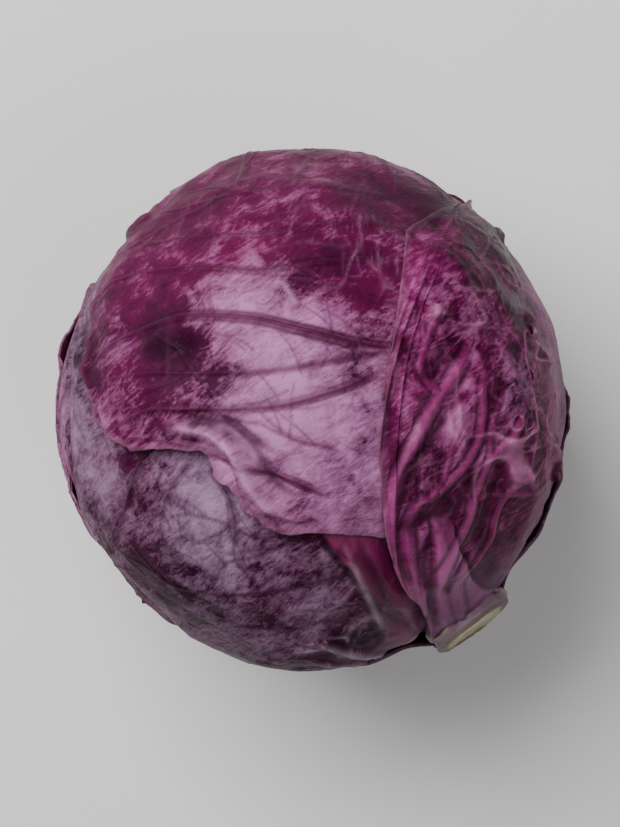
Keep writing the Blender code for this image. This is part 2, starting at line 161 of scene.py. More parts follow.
@dataclass(frozen=True)
class HeadForm:
    """The size and form of the whole head, and where it lies. Metres, and degrees for turns."""

    half_width: float = 0.0862
    half_height: float = 0.0856
    half_length: float = 0.0844
    centre: Triple = (-0.0009, 0.0003, 0.0832)
    stalk_turn: float = -52.0
    stalk_rise: float = 8.0
    swells: tuple[tuple[float, float, float, float], ...] = (
        (222, 4, -0.0042, 26),
        (268, 8, 0.0030, 22),
        (92, 6, 0.0022, 26),
        (122, 10, -0.0018, 18),
        (28, 6, -0.0020, 20),
        (150, 52, 0.0016, 22),
        (20, 60, -0.0014, 20),
    )
    base_dimple: float = 0.0035
    base_dimple_spread: float = 34.0
    pressed_in: float = 0.0002
    spot_sharpness: float = 150.0
    least_down: float = 0.05

    @property
    def axis(self) -> Array:
        """The direction that the stalk points."""
        return from_turn_and_rise(self.stalk_turn, self.stalk_rise)

    @property
    def topward(self) -> Array:
        """The direction square to the stalk that is nearest to straight up."""
        up = np.array([0.0, 0.0, 1.0]) - self.axis[2] * self.axis
        return up / np.linalg.norm(up)

    @property
    def sideward(self) -> Array:
        """The direction square to the stalk and to topward."""
        return np.cross(self.axis, self.topward)

    @property
    def middle(self) -> Array:
        """The middle of the head."""
        return np.array(self.centre)

    def skin(self, directions: Array) -> Array:
        """How far the outermost skin lies from the middle, in each direction."""
        along = directions @ self.axis / self.half_length
        above = directions @ self.topward / self.half_height
        beside = directions @ self.sideward / self.half_width
        form = 1.0 / np.sqrt(along**2 + above**2 + beside**2)
        for turn, rise, height, spread in self.swells:
            off = angle_between(directions, from_turn_and_rise(turn, rise))
            form += height * bell(off, radians(spread))
        off = angle_between(directions, self.axis)
        form -= self.base_dimple * bell(off, radians(self.base_dimple_spread))
        down = np.maximum(-directions[..., 2], self.least_down)
        to_surface = (self.centre[2] + self.pressed_in) / down
        nearer = np.minimum(form, to_surface)
        summed = (nearer / form) ** self.spot_sharpness + (nearer / to_surface) ** self.spot_sharpness
        return nearer * summed ** (-1.0 / self.spot_sharpness)

    def onto_axis(self, local: Array) -> Array:
        """Places measured along topward, sideward and the axis, as places in the world."""
        return self.middle + local @ np.stack([self.topward, self.sideward, self.axis])


@dataclass(frozen=True)
class Line:
    """A rib or fold drawn on the head, in millimetres to the right and upwards as seen."""

    points: tuple[Pair, ...]
    height: float
    half_width: float


@dataclass(frozen=True)
class Spot:
    """A soft round patch on the head, in millimetres as seen."""

    right: float
    up: float
    radius: float
    amount: float


@dataclass(frozen=True)
class LeafPlan:
    """One leaf's place, outline and look. Angles are in degrees, widths from the midrib."""

    node: str
    turn: float
    length: float
    sweep: float
    left: float
    right: float
    left_flare: Pair
    right_flare: Pair
    seed: int
    rows: int
    left_columns: int
    right_columns: int
    left_bay: Triple = (0.0, 1.0, 0.0)
    rib: float = 1.0
    midrib_fades: Pair = (1.1, 2.0)
    bloom: float = 0.5
    crumple: float = 0.4
    veins: int = 9
    ribs: tuple[Line, ...] = ()
    folds: tuple[Line, ...] = ()
    blooms: tuple[Spot, ...] = ()
    crumples: tuple[Spot, ...] = ()
    curls: tuple[Spot, ...] = ()


# Each Line holds its points, its height and its half width. A negative height is a hollow.
LOWER_LEFT_RIBS = (
    Line(((34, -80), (28, -68), (21, -53), (14, -38), (9, -28)), 1.5, 5.4),
    Line(((-34, -18), (-28, -27), (-25, -37), (-26, -48), (-22, -55)), 0.9, 0.8),
    Line(((-55, -12), (-60, -24), (-63, -36), (-64, -46)), 0.9, 0.8),
    Line(((9, -38), (-6, -42), (-20, -48), (-34, -51)), 0.8, 0.8),
    Line(((14, -52), (-4, -58), (-24, -60), (-42, -58), (-54, -52)), 0.9, 0.9),
    Line(((20, -66), (4, -69), (-14, -71), (-30, -70)), 0.9, 0.9),
    Line(((-4, -40), (-18, -42), (-30, -36), (-42, -33), (-52, -36)), 0.7, 0.7),
    Line(((-40, -16), (-46, -24), (-50, -36), (-48, -46)), 0.7, 0.7),
)
LOWER_LEFT_FOLDS = (
    Line(((25, -74), (19, -61), (13, -48), (8, -38)), 1.6, 1.6),
    Line(((31, -72), (24, -60), (18, -48), (14, -38)), -1.4, 2.2),
    Line(((27, -80), (16, -78), (4, -76), (-5, -77)), 1.6, 1.7),
    Line(((24, -84), (10, -82), (-3, -80)), 1.4, 1.6),
    Line(((-40, -30), (-46, -40), (-44, -52)), 1.2, 5.0),
)
LEFT_RIBS = (
    Line(((30, 62), (8, 62), (-3, 60), (-18, 59), (-34, 59), (-46, 57), (-59, 53)), 1.0, 0.8),
    Line(
        ((30, 52), (14, 51), (-1, 49), (-18, 47), (-34, 48), (-53, 47), (-68, 40), (-77, 31), (-81, 22)),
        height=1.1,
        half_width=0.8,
    ),
    Line(
        ((30, 21), (14, 23), (-1, 27), (-15, 31), (-30, 32), (-44, 32), (-56, 28), (-68, 20), (-79, 7)),
        height=1.4,
        half_width=1.1,
    ),
    Line(((27, 21), (11, 18), (-3, 15), (-18, 13), (-34, 13), (-53, 13), (-68, 10), (-81, 4)), 0.9, 0.65),
    Line(
        (
            (24, 14), (11, 8), (2, 5), (-10, 2), (-25, 1),
            (-39, 1), (-53, 1), (-63, -4), (-71, -11), (-76, -26),
        ),
        height=1.1,
        half_width=0.8,
    ),
    Line(((8, -12), (-5, -9), (-14, -5), (-20, -1)), 0.7, 0.6),
    Line(
        (
            (4, -27), (-3, -24), (-10, -21), (-18, -19), (-30, -14),
            (-39, -11), (-49, -9), (-59, -8), (-68, -16),
        ),
        height=1.0,
        half_width=0.7,
    ),
    Line(((28, 72), (11, 74), (-4, 74), (-20, 72), (-38, 68)), 0.9, 0.8),
    Line(((30, 36), (14, 39), (2, 43), (-8, 49)), 0.8, 0.7),
    Line(((-53, 26), (-42, 20), (-30, 16)), 0.7, 0.7),
)
LEFT_FOLDS = (
    Line(((-32, 0), (-25, -5), (-20, -9), (-12, -13)), -1.6, 2.2),
    Line(
        ((-54, -7), (-42, -5), (-32, -7), (-24, -14), (-20, -23), (-14, -31), (-4, -35), (6, -35)),
        height=3.4,
        half_width=2.4,
    ),
    Line(((-48, -1), (-34, -2), (-22, -8), (-15, -18), (-9, -26), (0, -30)), -2.2, 2.2),
    Line(((-36, -3), (-26, -6), (-19, -13), (-14, -22)), 1.3, 1.5),
    Line(((-11, 44), (-9, 42), (-4, 34)), 1.3, 1.8),
    Line(((-60, 24), (-48, 22), (-34, 22)), -1.2, 5.0),
    Line(((-25, 9), (-8, 9), (7, 10)), 0.9, 5.0),
    Line(((-40, 40), (-20, 40), (0, 39)), 0.9, 5.0),
    Line(((-60, -2), (-66, -10), (-68, -22)), 1.2, 3.0),
)
RIGHT_RIBS = (
    Line(
        (
            (34, -65), (28, -54), (25, -43), (25, -33), (28, -21),
            (33, -11), (40, 2), (46, 10), (51, 19), (51, 26),
        ),
        height=2.4,
        half_width=2.6,
    ),
    Line(
        (
            (38, -66), (33, -54), (31, -40), (34, -30), (42, -26),
            (51, -18), (56, -9), (57, -1), (56, 9), (56, 19),
        ),
        height=2.0,
        half_width=2.0,
    ),
    Line(
        (
            (42, -66), (41, -54), (46, -44), (51, -37), (54, -28),
            (57, -21), (60, -14), (66, -9), (69, 1), (70, 10),
        ),
        height=2.0,
        half_width=2.0,
    ),
    Line(
        ((46, -64), (47, -55), (54, -48), (59, -42), (61, -33), (65, -25), (73, -19), (77, -11)),
        height=1.6,
        half_width=1.7,
    ),
    Line(((36, -30), (44, -22), (46, -13), (50, -3)), 0.9, 1.1),
    Line(((54, -28), (62, -27), (71, -26), (77, -22)), 1.0, 1.1),
    Line(((44, 5), (39, 10), (36, 16), (39, 26), (42, 33)), 1.2, 1.4),
    Line(((60, -14), (59, -7), (61, 2), (63, 9)), 1.0, 1.1),
    Line(((25, -30), (22, -22), (24, -14), (30, -4)), 0.9, 1.1),
)
RIGHT_FOLDS = (
    Line(((28, -43), (36, -34), (44, -32), (53, -27)), -1.9, 3.0),
    Line(((27, -30), (32, -20), (38, -11), (45, -1), (51, 7)), -1.5, 2.0),
    Line(((42, -39), (48, -32), (51, -24), (56, -15)), -1.7, 2.4),
    Line(((51, -45), (56, -37), (60, -25), (65, -18)), -1.7, 2.0),
    Line(((36, 9), (42, 16), (46, 26)), -1.3, 2.6),
    Line(((62, 16), (68, 8), (72, -3), (74, -14)), 1.1, 2.0),
    Line(((40, 36), (41, 33), (42, 30)), 2.2, 3.0),
    Line(((33, -58), (29, -49), (28, -38)), -1.6, 1.5),
    Line(((38, -60), (37, -50), (39, -40), (45, -36)), -1.8, 1.9),
    Line(((43, -60), (46, -52), (52, -43)), -1.6, 1.6),
)

# Each plan starts with its node, turn, length, sweep, left, right, flares, seed, rows and columns
LEAF_PLANS: tuple[LeafPlan, ...] = (
    LeafPlan(
        "wrapper_leaf_1", -132, 168, 14, 76, 74, (-0.1, 0.50), (-0.1, 0.50), 11, 210, 80, 80, bloom=0.5
    ),
    LeafPlan(
        "wrapper_leaf_2", 92, 166, -12, 76, 78, (-0.1, 0.50), (-0.1, 0.50), 12, 210, 80, 80, bloom=0.4
    ),
    LeafPlan(
        "wrapper_leaf_3", -92, 160, 12, 74, 72, (-0.1, 0.50), (-0.1, 0.48), 13, 230, 95, 95, bloom=0.45
    ),
    LeafPlan(
        "wrapper_leaf_4", 130, 156, -12, 70, 72, (-0.1, 0.48), (-0.1, 0.48), 14, 230, 95, 95, bloom=0.4
    ),
    LeafPlan(
        "wrapper_leaf_5", 10, 152, -10, 66, 62, (-0.1, 0.42), (-0.1, 0.42), 15, 290, 170, 60,
        bloom=0.42,
        ribs=LOWER_LEFT_RIBS,
        folds=LOWER_LEFT_FOLDS,
        blooms=(
            Spot(-34, -34, 15, 0.40),
            Spot(-58, -22, 14, -0.30),
            Spot(28, -60, 12, -0.6),
            Spot(0, -80, 20, -0.30),
            Spot(-58, -50, 18, -0.30),
            Spot(-14, -62, 14, -0.15),
        ),
        crumples=(Spot(2, -78, 20, 0.8), Spot(-52, -60, 18, 0.5), Spot(-8, -52, 14, 0.3)),
    ),
    LeafPlan(
        "wrapper_leaf_6", -38, 150, 8, 116, 72, (0.10, 1.05), (-0.1, 0.46), 16, 290, 210, 70,
        left_bay=(0.72, 0.15, 0.30),
        midrib_fades=(0.2025, 0.45),
        bloom=0.42,
        ribs=LEFT_RIBS,
        folds=LEFT_FOLDS,
        blooms=(
            Spot(-4, 2, 22, 0.42),
            Spot(-20, 38, 18, 0.40),
            Spot(-66, 4, 14, -0.20),
            Spot(-54, 21, 11, -0.16),
            Spot(-38, 6, 9, -0.12),
            Spot(-10, 76, 34, -1.00),
            Spot(-54, 56, 24, -0.60),
            Spot(22, 46, 24, -0.50),
            Spot(-30, -18, 9, 0.3),
        ),
        crumples=(Spot(28, 48, 26, 1.0), Spot(18, 16, 14, 0.5), Spot(-20, -26, 14, 0.5)),
        curls=(Spot(-26, -20, 15, 4.0), Spot(-50, -13, 12, 2.2), Spot(-5, -39, 9, 1.8)),
    ),
    LeafPlan(
        "wrapper_leaf_7", -8, 130, -80, 12, 54, (0.05, 0.35), (-0.1, 0.42), 17, 300, 50, 160,
        left_bay=(0.85, 0.30, 0.60),
        rib=0.55,
        midrib_fades=(0.135, 0.30),
        bloom=0.12,
        crumple=0.7,
        ribs=RIGHT_RIBS,
        folds=RIGHT_FOLDS,
        blooms=(Spot(69, 7, 11, 0.4), Spot(42, -14, 18, 0.22), Spot(48, 30, 16, 0.2), Spot(37, -58, 9, 0.4)),
        crumples=(Spot(56, 30, 26, 0.9), Spot(72, -5, 20, 0.7)),
    ),
    LeafPlan(
        "wrapper_leaf_8", 178, 136, 8, 64, 66, (-0.1, 0.46), (-0.1, 0.44), 18, 240, 110, 110, bloom=0.4
    ),
)


@dataclass
class FlatLeaf:
    """A leaf spread flat, as angles across and along it, and how that wraps onto the head."""

    plan: LeafPlan
    form: HeadForm
    foot: float = radians(9.3)
    foot_wrap: float = radians(76)
    foot_end: float = 0.18
    unwrapping: float = 0.25
    centre_off: float = radians(82)
    least_bend: float = 1e-6
    full_width_at: float = 0.14
    full_blade_at: float = 0.25
    narrowing: float = 0.42
    narrows: Pair = (0.55, 1.05)
    ripple: Pair = (0.035, 2.0)
    frill: Pair = (0.010, 7.0)
    vein_drop: float = radians(36)
    shoulder: float = radians(24)
    tip: float = radians(2.2)
    tip_start: float = 0.85
    tip_waves: float = 2.4
    table_step: float = radians(1.25)
    side_points: int = 110
    end_points: int = 90
    foot_points: int = 20
    batch: int = 4000

    def __post_init__(self) -> None:
        """Works out the leaf's own directions, its outline and its table of distances to it."""
        turn = radians(self.plan.turn)
        outward = cos(turn) * self.form.topward + sin(turn) * self.form.sideward
        self.middle = cos(self.centre_off) * self.form.axis + sin(self.centre_off) * outward
        self.forward = -sin(self.centre_off) * self.form.axis + cos(self.centre_off) * outward
        self.across = -sin(turn) * self.form.topward + cos(turn) * self.form.sideward
        generator = np.random.default_rng(self.plan.seed)
        self.phases = generator.uniform(0.0, 2.0 * pi, 8)
        self.outline = self._margin()
        self.table = self._distance_table()

    def half_width(self, along: Array, share: Array) -> Array:
        """The blade's reach from the midrib, in radians, on the side that share's sign gives."""
        foot = self.foot * sin(self.foot_wrap)
        narrowing = 1.0 - self.narrowing * smooth_step(*self.narrows, along)
        grown = smooth_step(0.0, self.full_width_at, along)
        reaches = []
        for width, flare in (
            (self.plan.left, self.plan.left_flare),
            (self.plan.right, self.plan.right_flare),
        ):
            flared = (radians(width) - foot) * smooth_step(*flare, along)
            reaches.append(foot + flared * narrowing * grown)
        station, spread, depth = self.plan.left_bay
        reaches[0] = reaches[0] * (1.0 - depth * bell(along - station, spread))
        return np.where(share >= 0, *reaches)

    def wave(self, value: Array, first: int) -> Array:
        """A wandering line between -1 and 1, for margins."""
        return sum(
            share * np.sin(speed * value + self.phases[first + number])
            for number, (speed, share) in enumerate(MARGIN_WAVES)
        )

    def flat(self, along: Array, share: Array) -> Array:
        """Where a point of the blade lies on the flat leaf.

        Args:
            along: How far along the midrib its vein starts, from 0 to 1.
            share: How far out along that vein it is, to 1 on the left and -1 on the right.

        Returns:
            The angles across and along the leaf from its middle, in radians.
        """
        length = radians(self.plan.length)
        bend = radians(self.plan.sweep) + self.least_bend
        heading = bend * along
        mid_x = length / bend * (1.0 - np.cos(heading))
        mid_y = length / bend * np.sin(heading) + self.foot - self.centre_off
        out = np.abs(share)
        wrap = self.foot_wrap * (1.0 - self.unwrapping * along)
        grown = smooth_step(0.0, self.full_blade_at, along)
        reach = self.half_width(along, share) * np.sin(wrap * out) / np.sin(wrap)
        side = np.sign(share)
        height, speed = self.ripple
        reach = reach * (1.0 + height * grown * out**4 * self.wave(along * speed + side, 0))
        height, speed = self.frill
        reach = reach * (1.0 + height * grown * out**8 * self.wave(along * speed + side, 2))
        foot_drop = self.foot * (1.0 - cos(self.foot_wrap))
        drop = foot_drop + (self.vein_drop - foot_drop) * np.maximum(along, 0.0) ** 0.8
        drop = drop * (1.0 - np.cos(wrap * out)) / (1.0 - np.cos(wrap))
        rise = self.shoulder * (1.0 - 0.7 * along) * grown * 4.0 * out * (1.0 - out) ** 2
        tip = self.tip * smooth_step(self.tip_start, 1.0, along) * self.wave(share * self.tip_waves, 3)
        ahead = rise - drop + tip
        sidelong = np.where(share >= 0, reach, -reach)
        x = mid_x + np.cos(heading) * sidelong + np.sin(heading) * ahead
        y = mid_y - np.sin(heading) * sidelong + np.cos(heading) * ahead
        at_foot = 1.0 - smooth_step(0.0, self.foot_end, along)
        return np.stack([x, y], -1) + at_foot[..., None] * self._foot_shift(share)

    def _foot_shift(self, share: Array) -> Array:
        """What brings the foot on the flat leaf to the ring round the stalk where it grows."""
        turn = self.foot_wrap * share
        plain = np.stack([self.foot * np.sin(turn), self.foot * np.cos(turn) - self.centre_off], -1)
        turn = (turn + radians(self.plan.turn))[..., None]
        ring = np.cos(turn) * self.form.topward + np.sin(turn) * self.form.sideward
        return self.spread(cos(self.foot) * self.form.axis + sin(self.foot) * ring) - plain

    def direction(self, flat: Array) -> Array:
        """The direction from the middle of the head at a point of the flat leaf."""
        off = np.maximum(np.hypot(flat[..., 0], flat[..., 1]), TINY)[..., None]
        aim = (flat[..., :1] * self.across + flat[..., 1:] * self.forward) / off
        return np.cos(off) * self.middle + np.sin(off) * aim

    def spread(self, directions: Array) -> Array:
        """The point of the flat leaf that wraps to a direction."""
        off = angle_between(directions, self.middle)[..., None]
        aim = np.stack([directions @ self.across, directions @ self.forward], -1)
        reach = np.linalg.norm(aim, axis=-1, keepdims=True)
        return off * np.where(reach > TINY, aim / np.maximum(reach, TINY), (1.0, 0.0))

    def _margin(self) -> Array:
        """The leaf's outline on the flat leaf, as a closed run of points."""
        up = np.linspace(0.0, 1.0, self.side_points)[:-1]
        over = np.linspace(1.0, -1.0, self.end_points)[:-1]
        foot = np.linspace(-1.0, 1.0, self.foot_points + 1)[:-1]
        runs = [
            self.flat(up, np.full_like(up, 1.0)),
            self.flat(np.full_like(over, 1.0), over),
            self.flat(up[::-1] + (1.0 - up[-1]), np.full_like(up, -1.0)),
            self.flat(np.zeros_like(foot), foot),
        ]
        return np.concatenate(runs)

    def _measured_outside(self, flat: Array) -> Array:
        """How far each flat point is outside the outline; negative inside it."""
        start = self.outline[None]
        end = np.roll(self.outline, -1, axis=0)[None]
        edge = end - start
        length = np.maximum((edge**2).sum(-1), TINY**2)
        found = []
        for points in np.array_split(flat.reshape(-1, 1, 2), max(1, len(flat) // self.batch)):
            offset = points - start
            share = np.clip((offset * edge).sum(-1) / length, 0.0, 1.0)
            nearest = np.sqrt(((offset - share[..., None] * edge) ** 2).sum(-1).min(1))
            spans = (start[..., 1] > points[..., 1]) != (end[..., 1] > points[..., 1])
            rise = np.where(np.abs(edge[..., 1]) < TINY, TINY, edge[..., 1])
            crossing = start[..., 0] + offset[..., 1] / rise * edge[..., 0]
            inside = (spans & (points[..., 0] < crossing)).sum(1) % 2 == 1
            found.append(np.where(inside, -nearest, nearest))
        return np.concatenate(found)

    def _distance_table(self) -> Array:
        """The distance outside the outline over the whole flat leaf, on an even grid."""
        count = int(np.ceil(2 * pi / self.table_step)) + 2
        ticks = -pi + self.table_step * np.arange(count)
        across, along = np.meshgrid(ticks, ticks, indexing="ij")
        flat = np.stack([across.ravel(), along.ravel()], -1)
        return self._measured_outside(flat).reshape(count, count)

    def outside(self, directions: Array) -> Array:
        """How far, in radians, a direction is outside the leaf's margin; negative inside it."""
        place = (self.spread(directions) + pi) / self.table_step
        cell = np.clip(np.floor(place).astype(int), 0, len(self.table) - 2)
        part = place - cell
        column, row = cell[..., 0], cell[..., 1]
        near, far = (
            self.table[column, at] * (1 - part[..., 0]) + self.table[column + 1, at] * part[..., 0]
            for at in (row, row + 1)
        )
        return near * (1 - part[..., 1]) + far * part[..., 1]


@dataclass
class Layering:
    """How the leaves lie on each other and on the heart. Metres, and radians for reaches."""

    form: HeadForm
    leaves: list[FlatLeaf]
    layer: float = 0.0024
    drape: Pair = (radians(0.7), radians(16))
    under_cover: Pair = (radians(0.6), radians(4.5))
    filling: float = radians(26)
    exact_filling: Pair = (radians(22), radians(48))

    def heart(self, directions: Array) -> Array:
        """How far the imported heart's skin lies from the middle."""
        outsides = [leaf.outside(directions) for leaf in self.leaves]
        broad = sum(1.0 - smooth_step(-self.filling, self.filling, off) for off in outsides)
        exact = sum(1.0 - smooth_step(*self.drape, off) for off in outsides)
        away = smooth_step(*self.exact_filling, angle_between(directions, DOWN))
        return self.form.skin(directions) - self.layer * (exact + (broad - exact) * away)

    def floor_of(self, index: int, directions: Array) -> Array:
        """The outer face of what leaf number index lies on."""
        held_up = sum(
            1.0 - smooth_step(*self.drape, leaf.outside(directions)) for leaf in self.leaves[:index]
        )
        return self.heart(directions) + self.layer * held_up

    def bare(self, index: int, directions: Array) -> Array:
        """1 where leaf number index shows, and 0 where another leaf covers it."""
        shown = np.ones(directions.shape[:-1])
        for leaf in self.leaves[index + 1 :]:
            shown = shown * smooth_step(*self.under_cover, leaf.outside(directions))
        return shown


@dataclass(frozen=True)
class Sight:
    """Where the camera sees a place on the head, in millimetres from its middle."""

    form: HeadForm
    distance: float = 1.10
    lean: float = 5.0
    rim: float = 0.985
    rounds: int = 12

    def onto_head(self, points: Sequence[Pair]) -> Array:
        """The directions from the middle of the head to the places seen at some points.

        Args:
            points: Millimetres to the right and upwards of the middle, as seen by the camera.

        Returns:
            One direction for each point.
        """
        seen = np.array(points, dtype=float) / MILLIMETRES
        tilt = radians(self.lean)
        right = np.array([cos(tilt), 0.0, -sin(tilt)])
        upward = np.array([0.0, 1.0, 0.0])
        toward = np.array([sin(tilt), 0.0, cos(tilt)])
        radius = np.full(len(seen), self.form.half_width)
        depth = np.zeros(len(seen))
        for _ in range(self.rounds):
            flat = seen * ((self.distance - depth) / self.distance)[:, None]
            far = np.linalg.norm(flat, axis=-1)
            off = np.minimum(far, self.rim * radius)
            flat = flat * (off / np.maximum(far, TINY))[:, None]
            depth = np.sqrt(radius**2 - off**2)
            place = flat[:, :1] * right + flat[:, 1:] * upward + depth[:, None] * toward
            directions = place / np.linalg.norm(place, axis=-1, keepdims=True)
            radius = self.form.skin(directions)
        return directions

    def patches(self, places: Array, spots: Sequence[Spot]) -> Array:
        """The sum of some soft round spots at each place."""
        total = np.zeros(places.shape[:-1])
        for spot in spots:
            direction = self.onto_head([(spot.right, spot.up)])
            middle = self.form.middle + direction[0] * self.form.skin(direction)[0]
            off = np.linalg.norm(places - middle, axis=-1)
            total += spot.amount * bell(off, spot.radius / MILLIMETRES)
        return total


@dataclass
class Strand:
    """A rib or vein as a dense run of directions, with its size at each of them in metres."""

    run: Array
    height: Array
    width: Array
    spacing: ClassVar[float] = 0.0035
    fewest: ClassVar[int] = 8
    smoothing_stretch: ClassVar[int] = 12
    smoothing_rounds: ClassVar[int] = 6
    root_height: ClassVar[float] = 0.35
    end_width: ClassVar[float] = 0.5

    @classmethod
    def through(cls, points: Array, height: Pair, width: Pair, fade: float = 0.12) -> Strand:
        """A smooth strand through some directions.

        Args:
            points: The directions, from root to end.
            height: Its height at its root and its end.
            width: Its half width at its root and its end.
            fade: The share of its run over which it dies away at its end.

        Returns:
            The strand.
        """
        steps = np.linalg.norm(np.diff(points, axis=0), axis=-1)
        gone = np.concatenate([[0.0], np.cumsum(steps)])
        count = max(cls.fewest, int(gone[-1] / cls.spacing))
        even = np.linspace(0.0, gone[-1], count)
        run = np.stack([np.interp(even, gone, points[:, axis]) for axis in range(3)], -1)
        for _ in range(count // cls.smoothing_stretch * cls.smoothing_rounds):
            run[1:-1] = 0.25 * run[:-2] + 0.5 * run[1:-1] + 0.25 * run[2:]
        run = run / np.linalg.norm(run, axis=-1, keepdims=True)
        share = np.linspace(0.0, 1.0, count)
        rooted = cls.root_height + (1.0 - cls.root_height) * smooth_step(0.0, 0.5 * fade, share)
        fading = smooth_step(0.0, fade, 1.0 - share) * rooted
        return cls(
            run,
            (height[0] + (height[1] - height[0]) * share) * fading,
            (width[0] + (width[1] - width[0]) * share) * (cls.end_width + (1.0 - cls.end_width) * fading),
        )


@dataclass
class Tangle:
    """Many strands on one leaf, and how they stand out from its blade."""

    strands: list[Strand]
    middle: Array
    least_width: float = 1e-5

    def stand(self, places: Array, radii: Radii) -> tuple[Array, Array, Array, Array]:
        """How the nearest strand stands out at each place.

        Args:
            places: Places on the leaf, (..., 3).
            radii: What gives the leaf's distance from the middle in a direction.

        Returns:
            The ridge's height at the place in metres, how far off the strand is in its own half
            widths, and the height and half width that it has where it is nearest.
        """
        run = np.concatenate([strand.run for strand in self.strands])
        tall = np.concatenate([strand.height for strand in self.strands])
        wide = np.concatenate([strand.width for strand in self.strands])
        points = self.middle + run * radii(run)[:, None]
        tree = KDTree(len(points))
        for index, point in enumerate(points):
            tree.insert(point, index)
        tree.balance()
        found = [tree.find(place)[1:] for place in places.reshape(-1, 3)]
        nearest = np.array([pair[0] for pair in found]).reshape(places.shape[:-1])
        off = np.array([pair[1] for pair in found]).reshape(places.shape[:-1])
        off = off / np.maximum(wide[nearest], self.least_width)
        return tall[nearest] * bell(off), off, tall[nearest], wide[nearest]


@dataclass
class Relief:
    """How far the veins stand out of a leaf in metres, and where its finish shows them.

    The marks are masks from 0 to 1: on ribs, on broad ones alone, beside ribs where shade is painted, and on
    threads.
    """

    height: Array
    rib: Array
    broad: Array
    shade: Array
    thread: Array


# Strands that show alike, and where they show, from 0 to 1
Lot = tuple[list[Strand], Union[Array, float]]


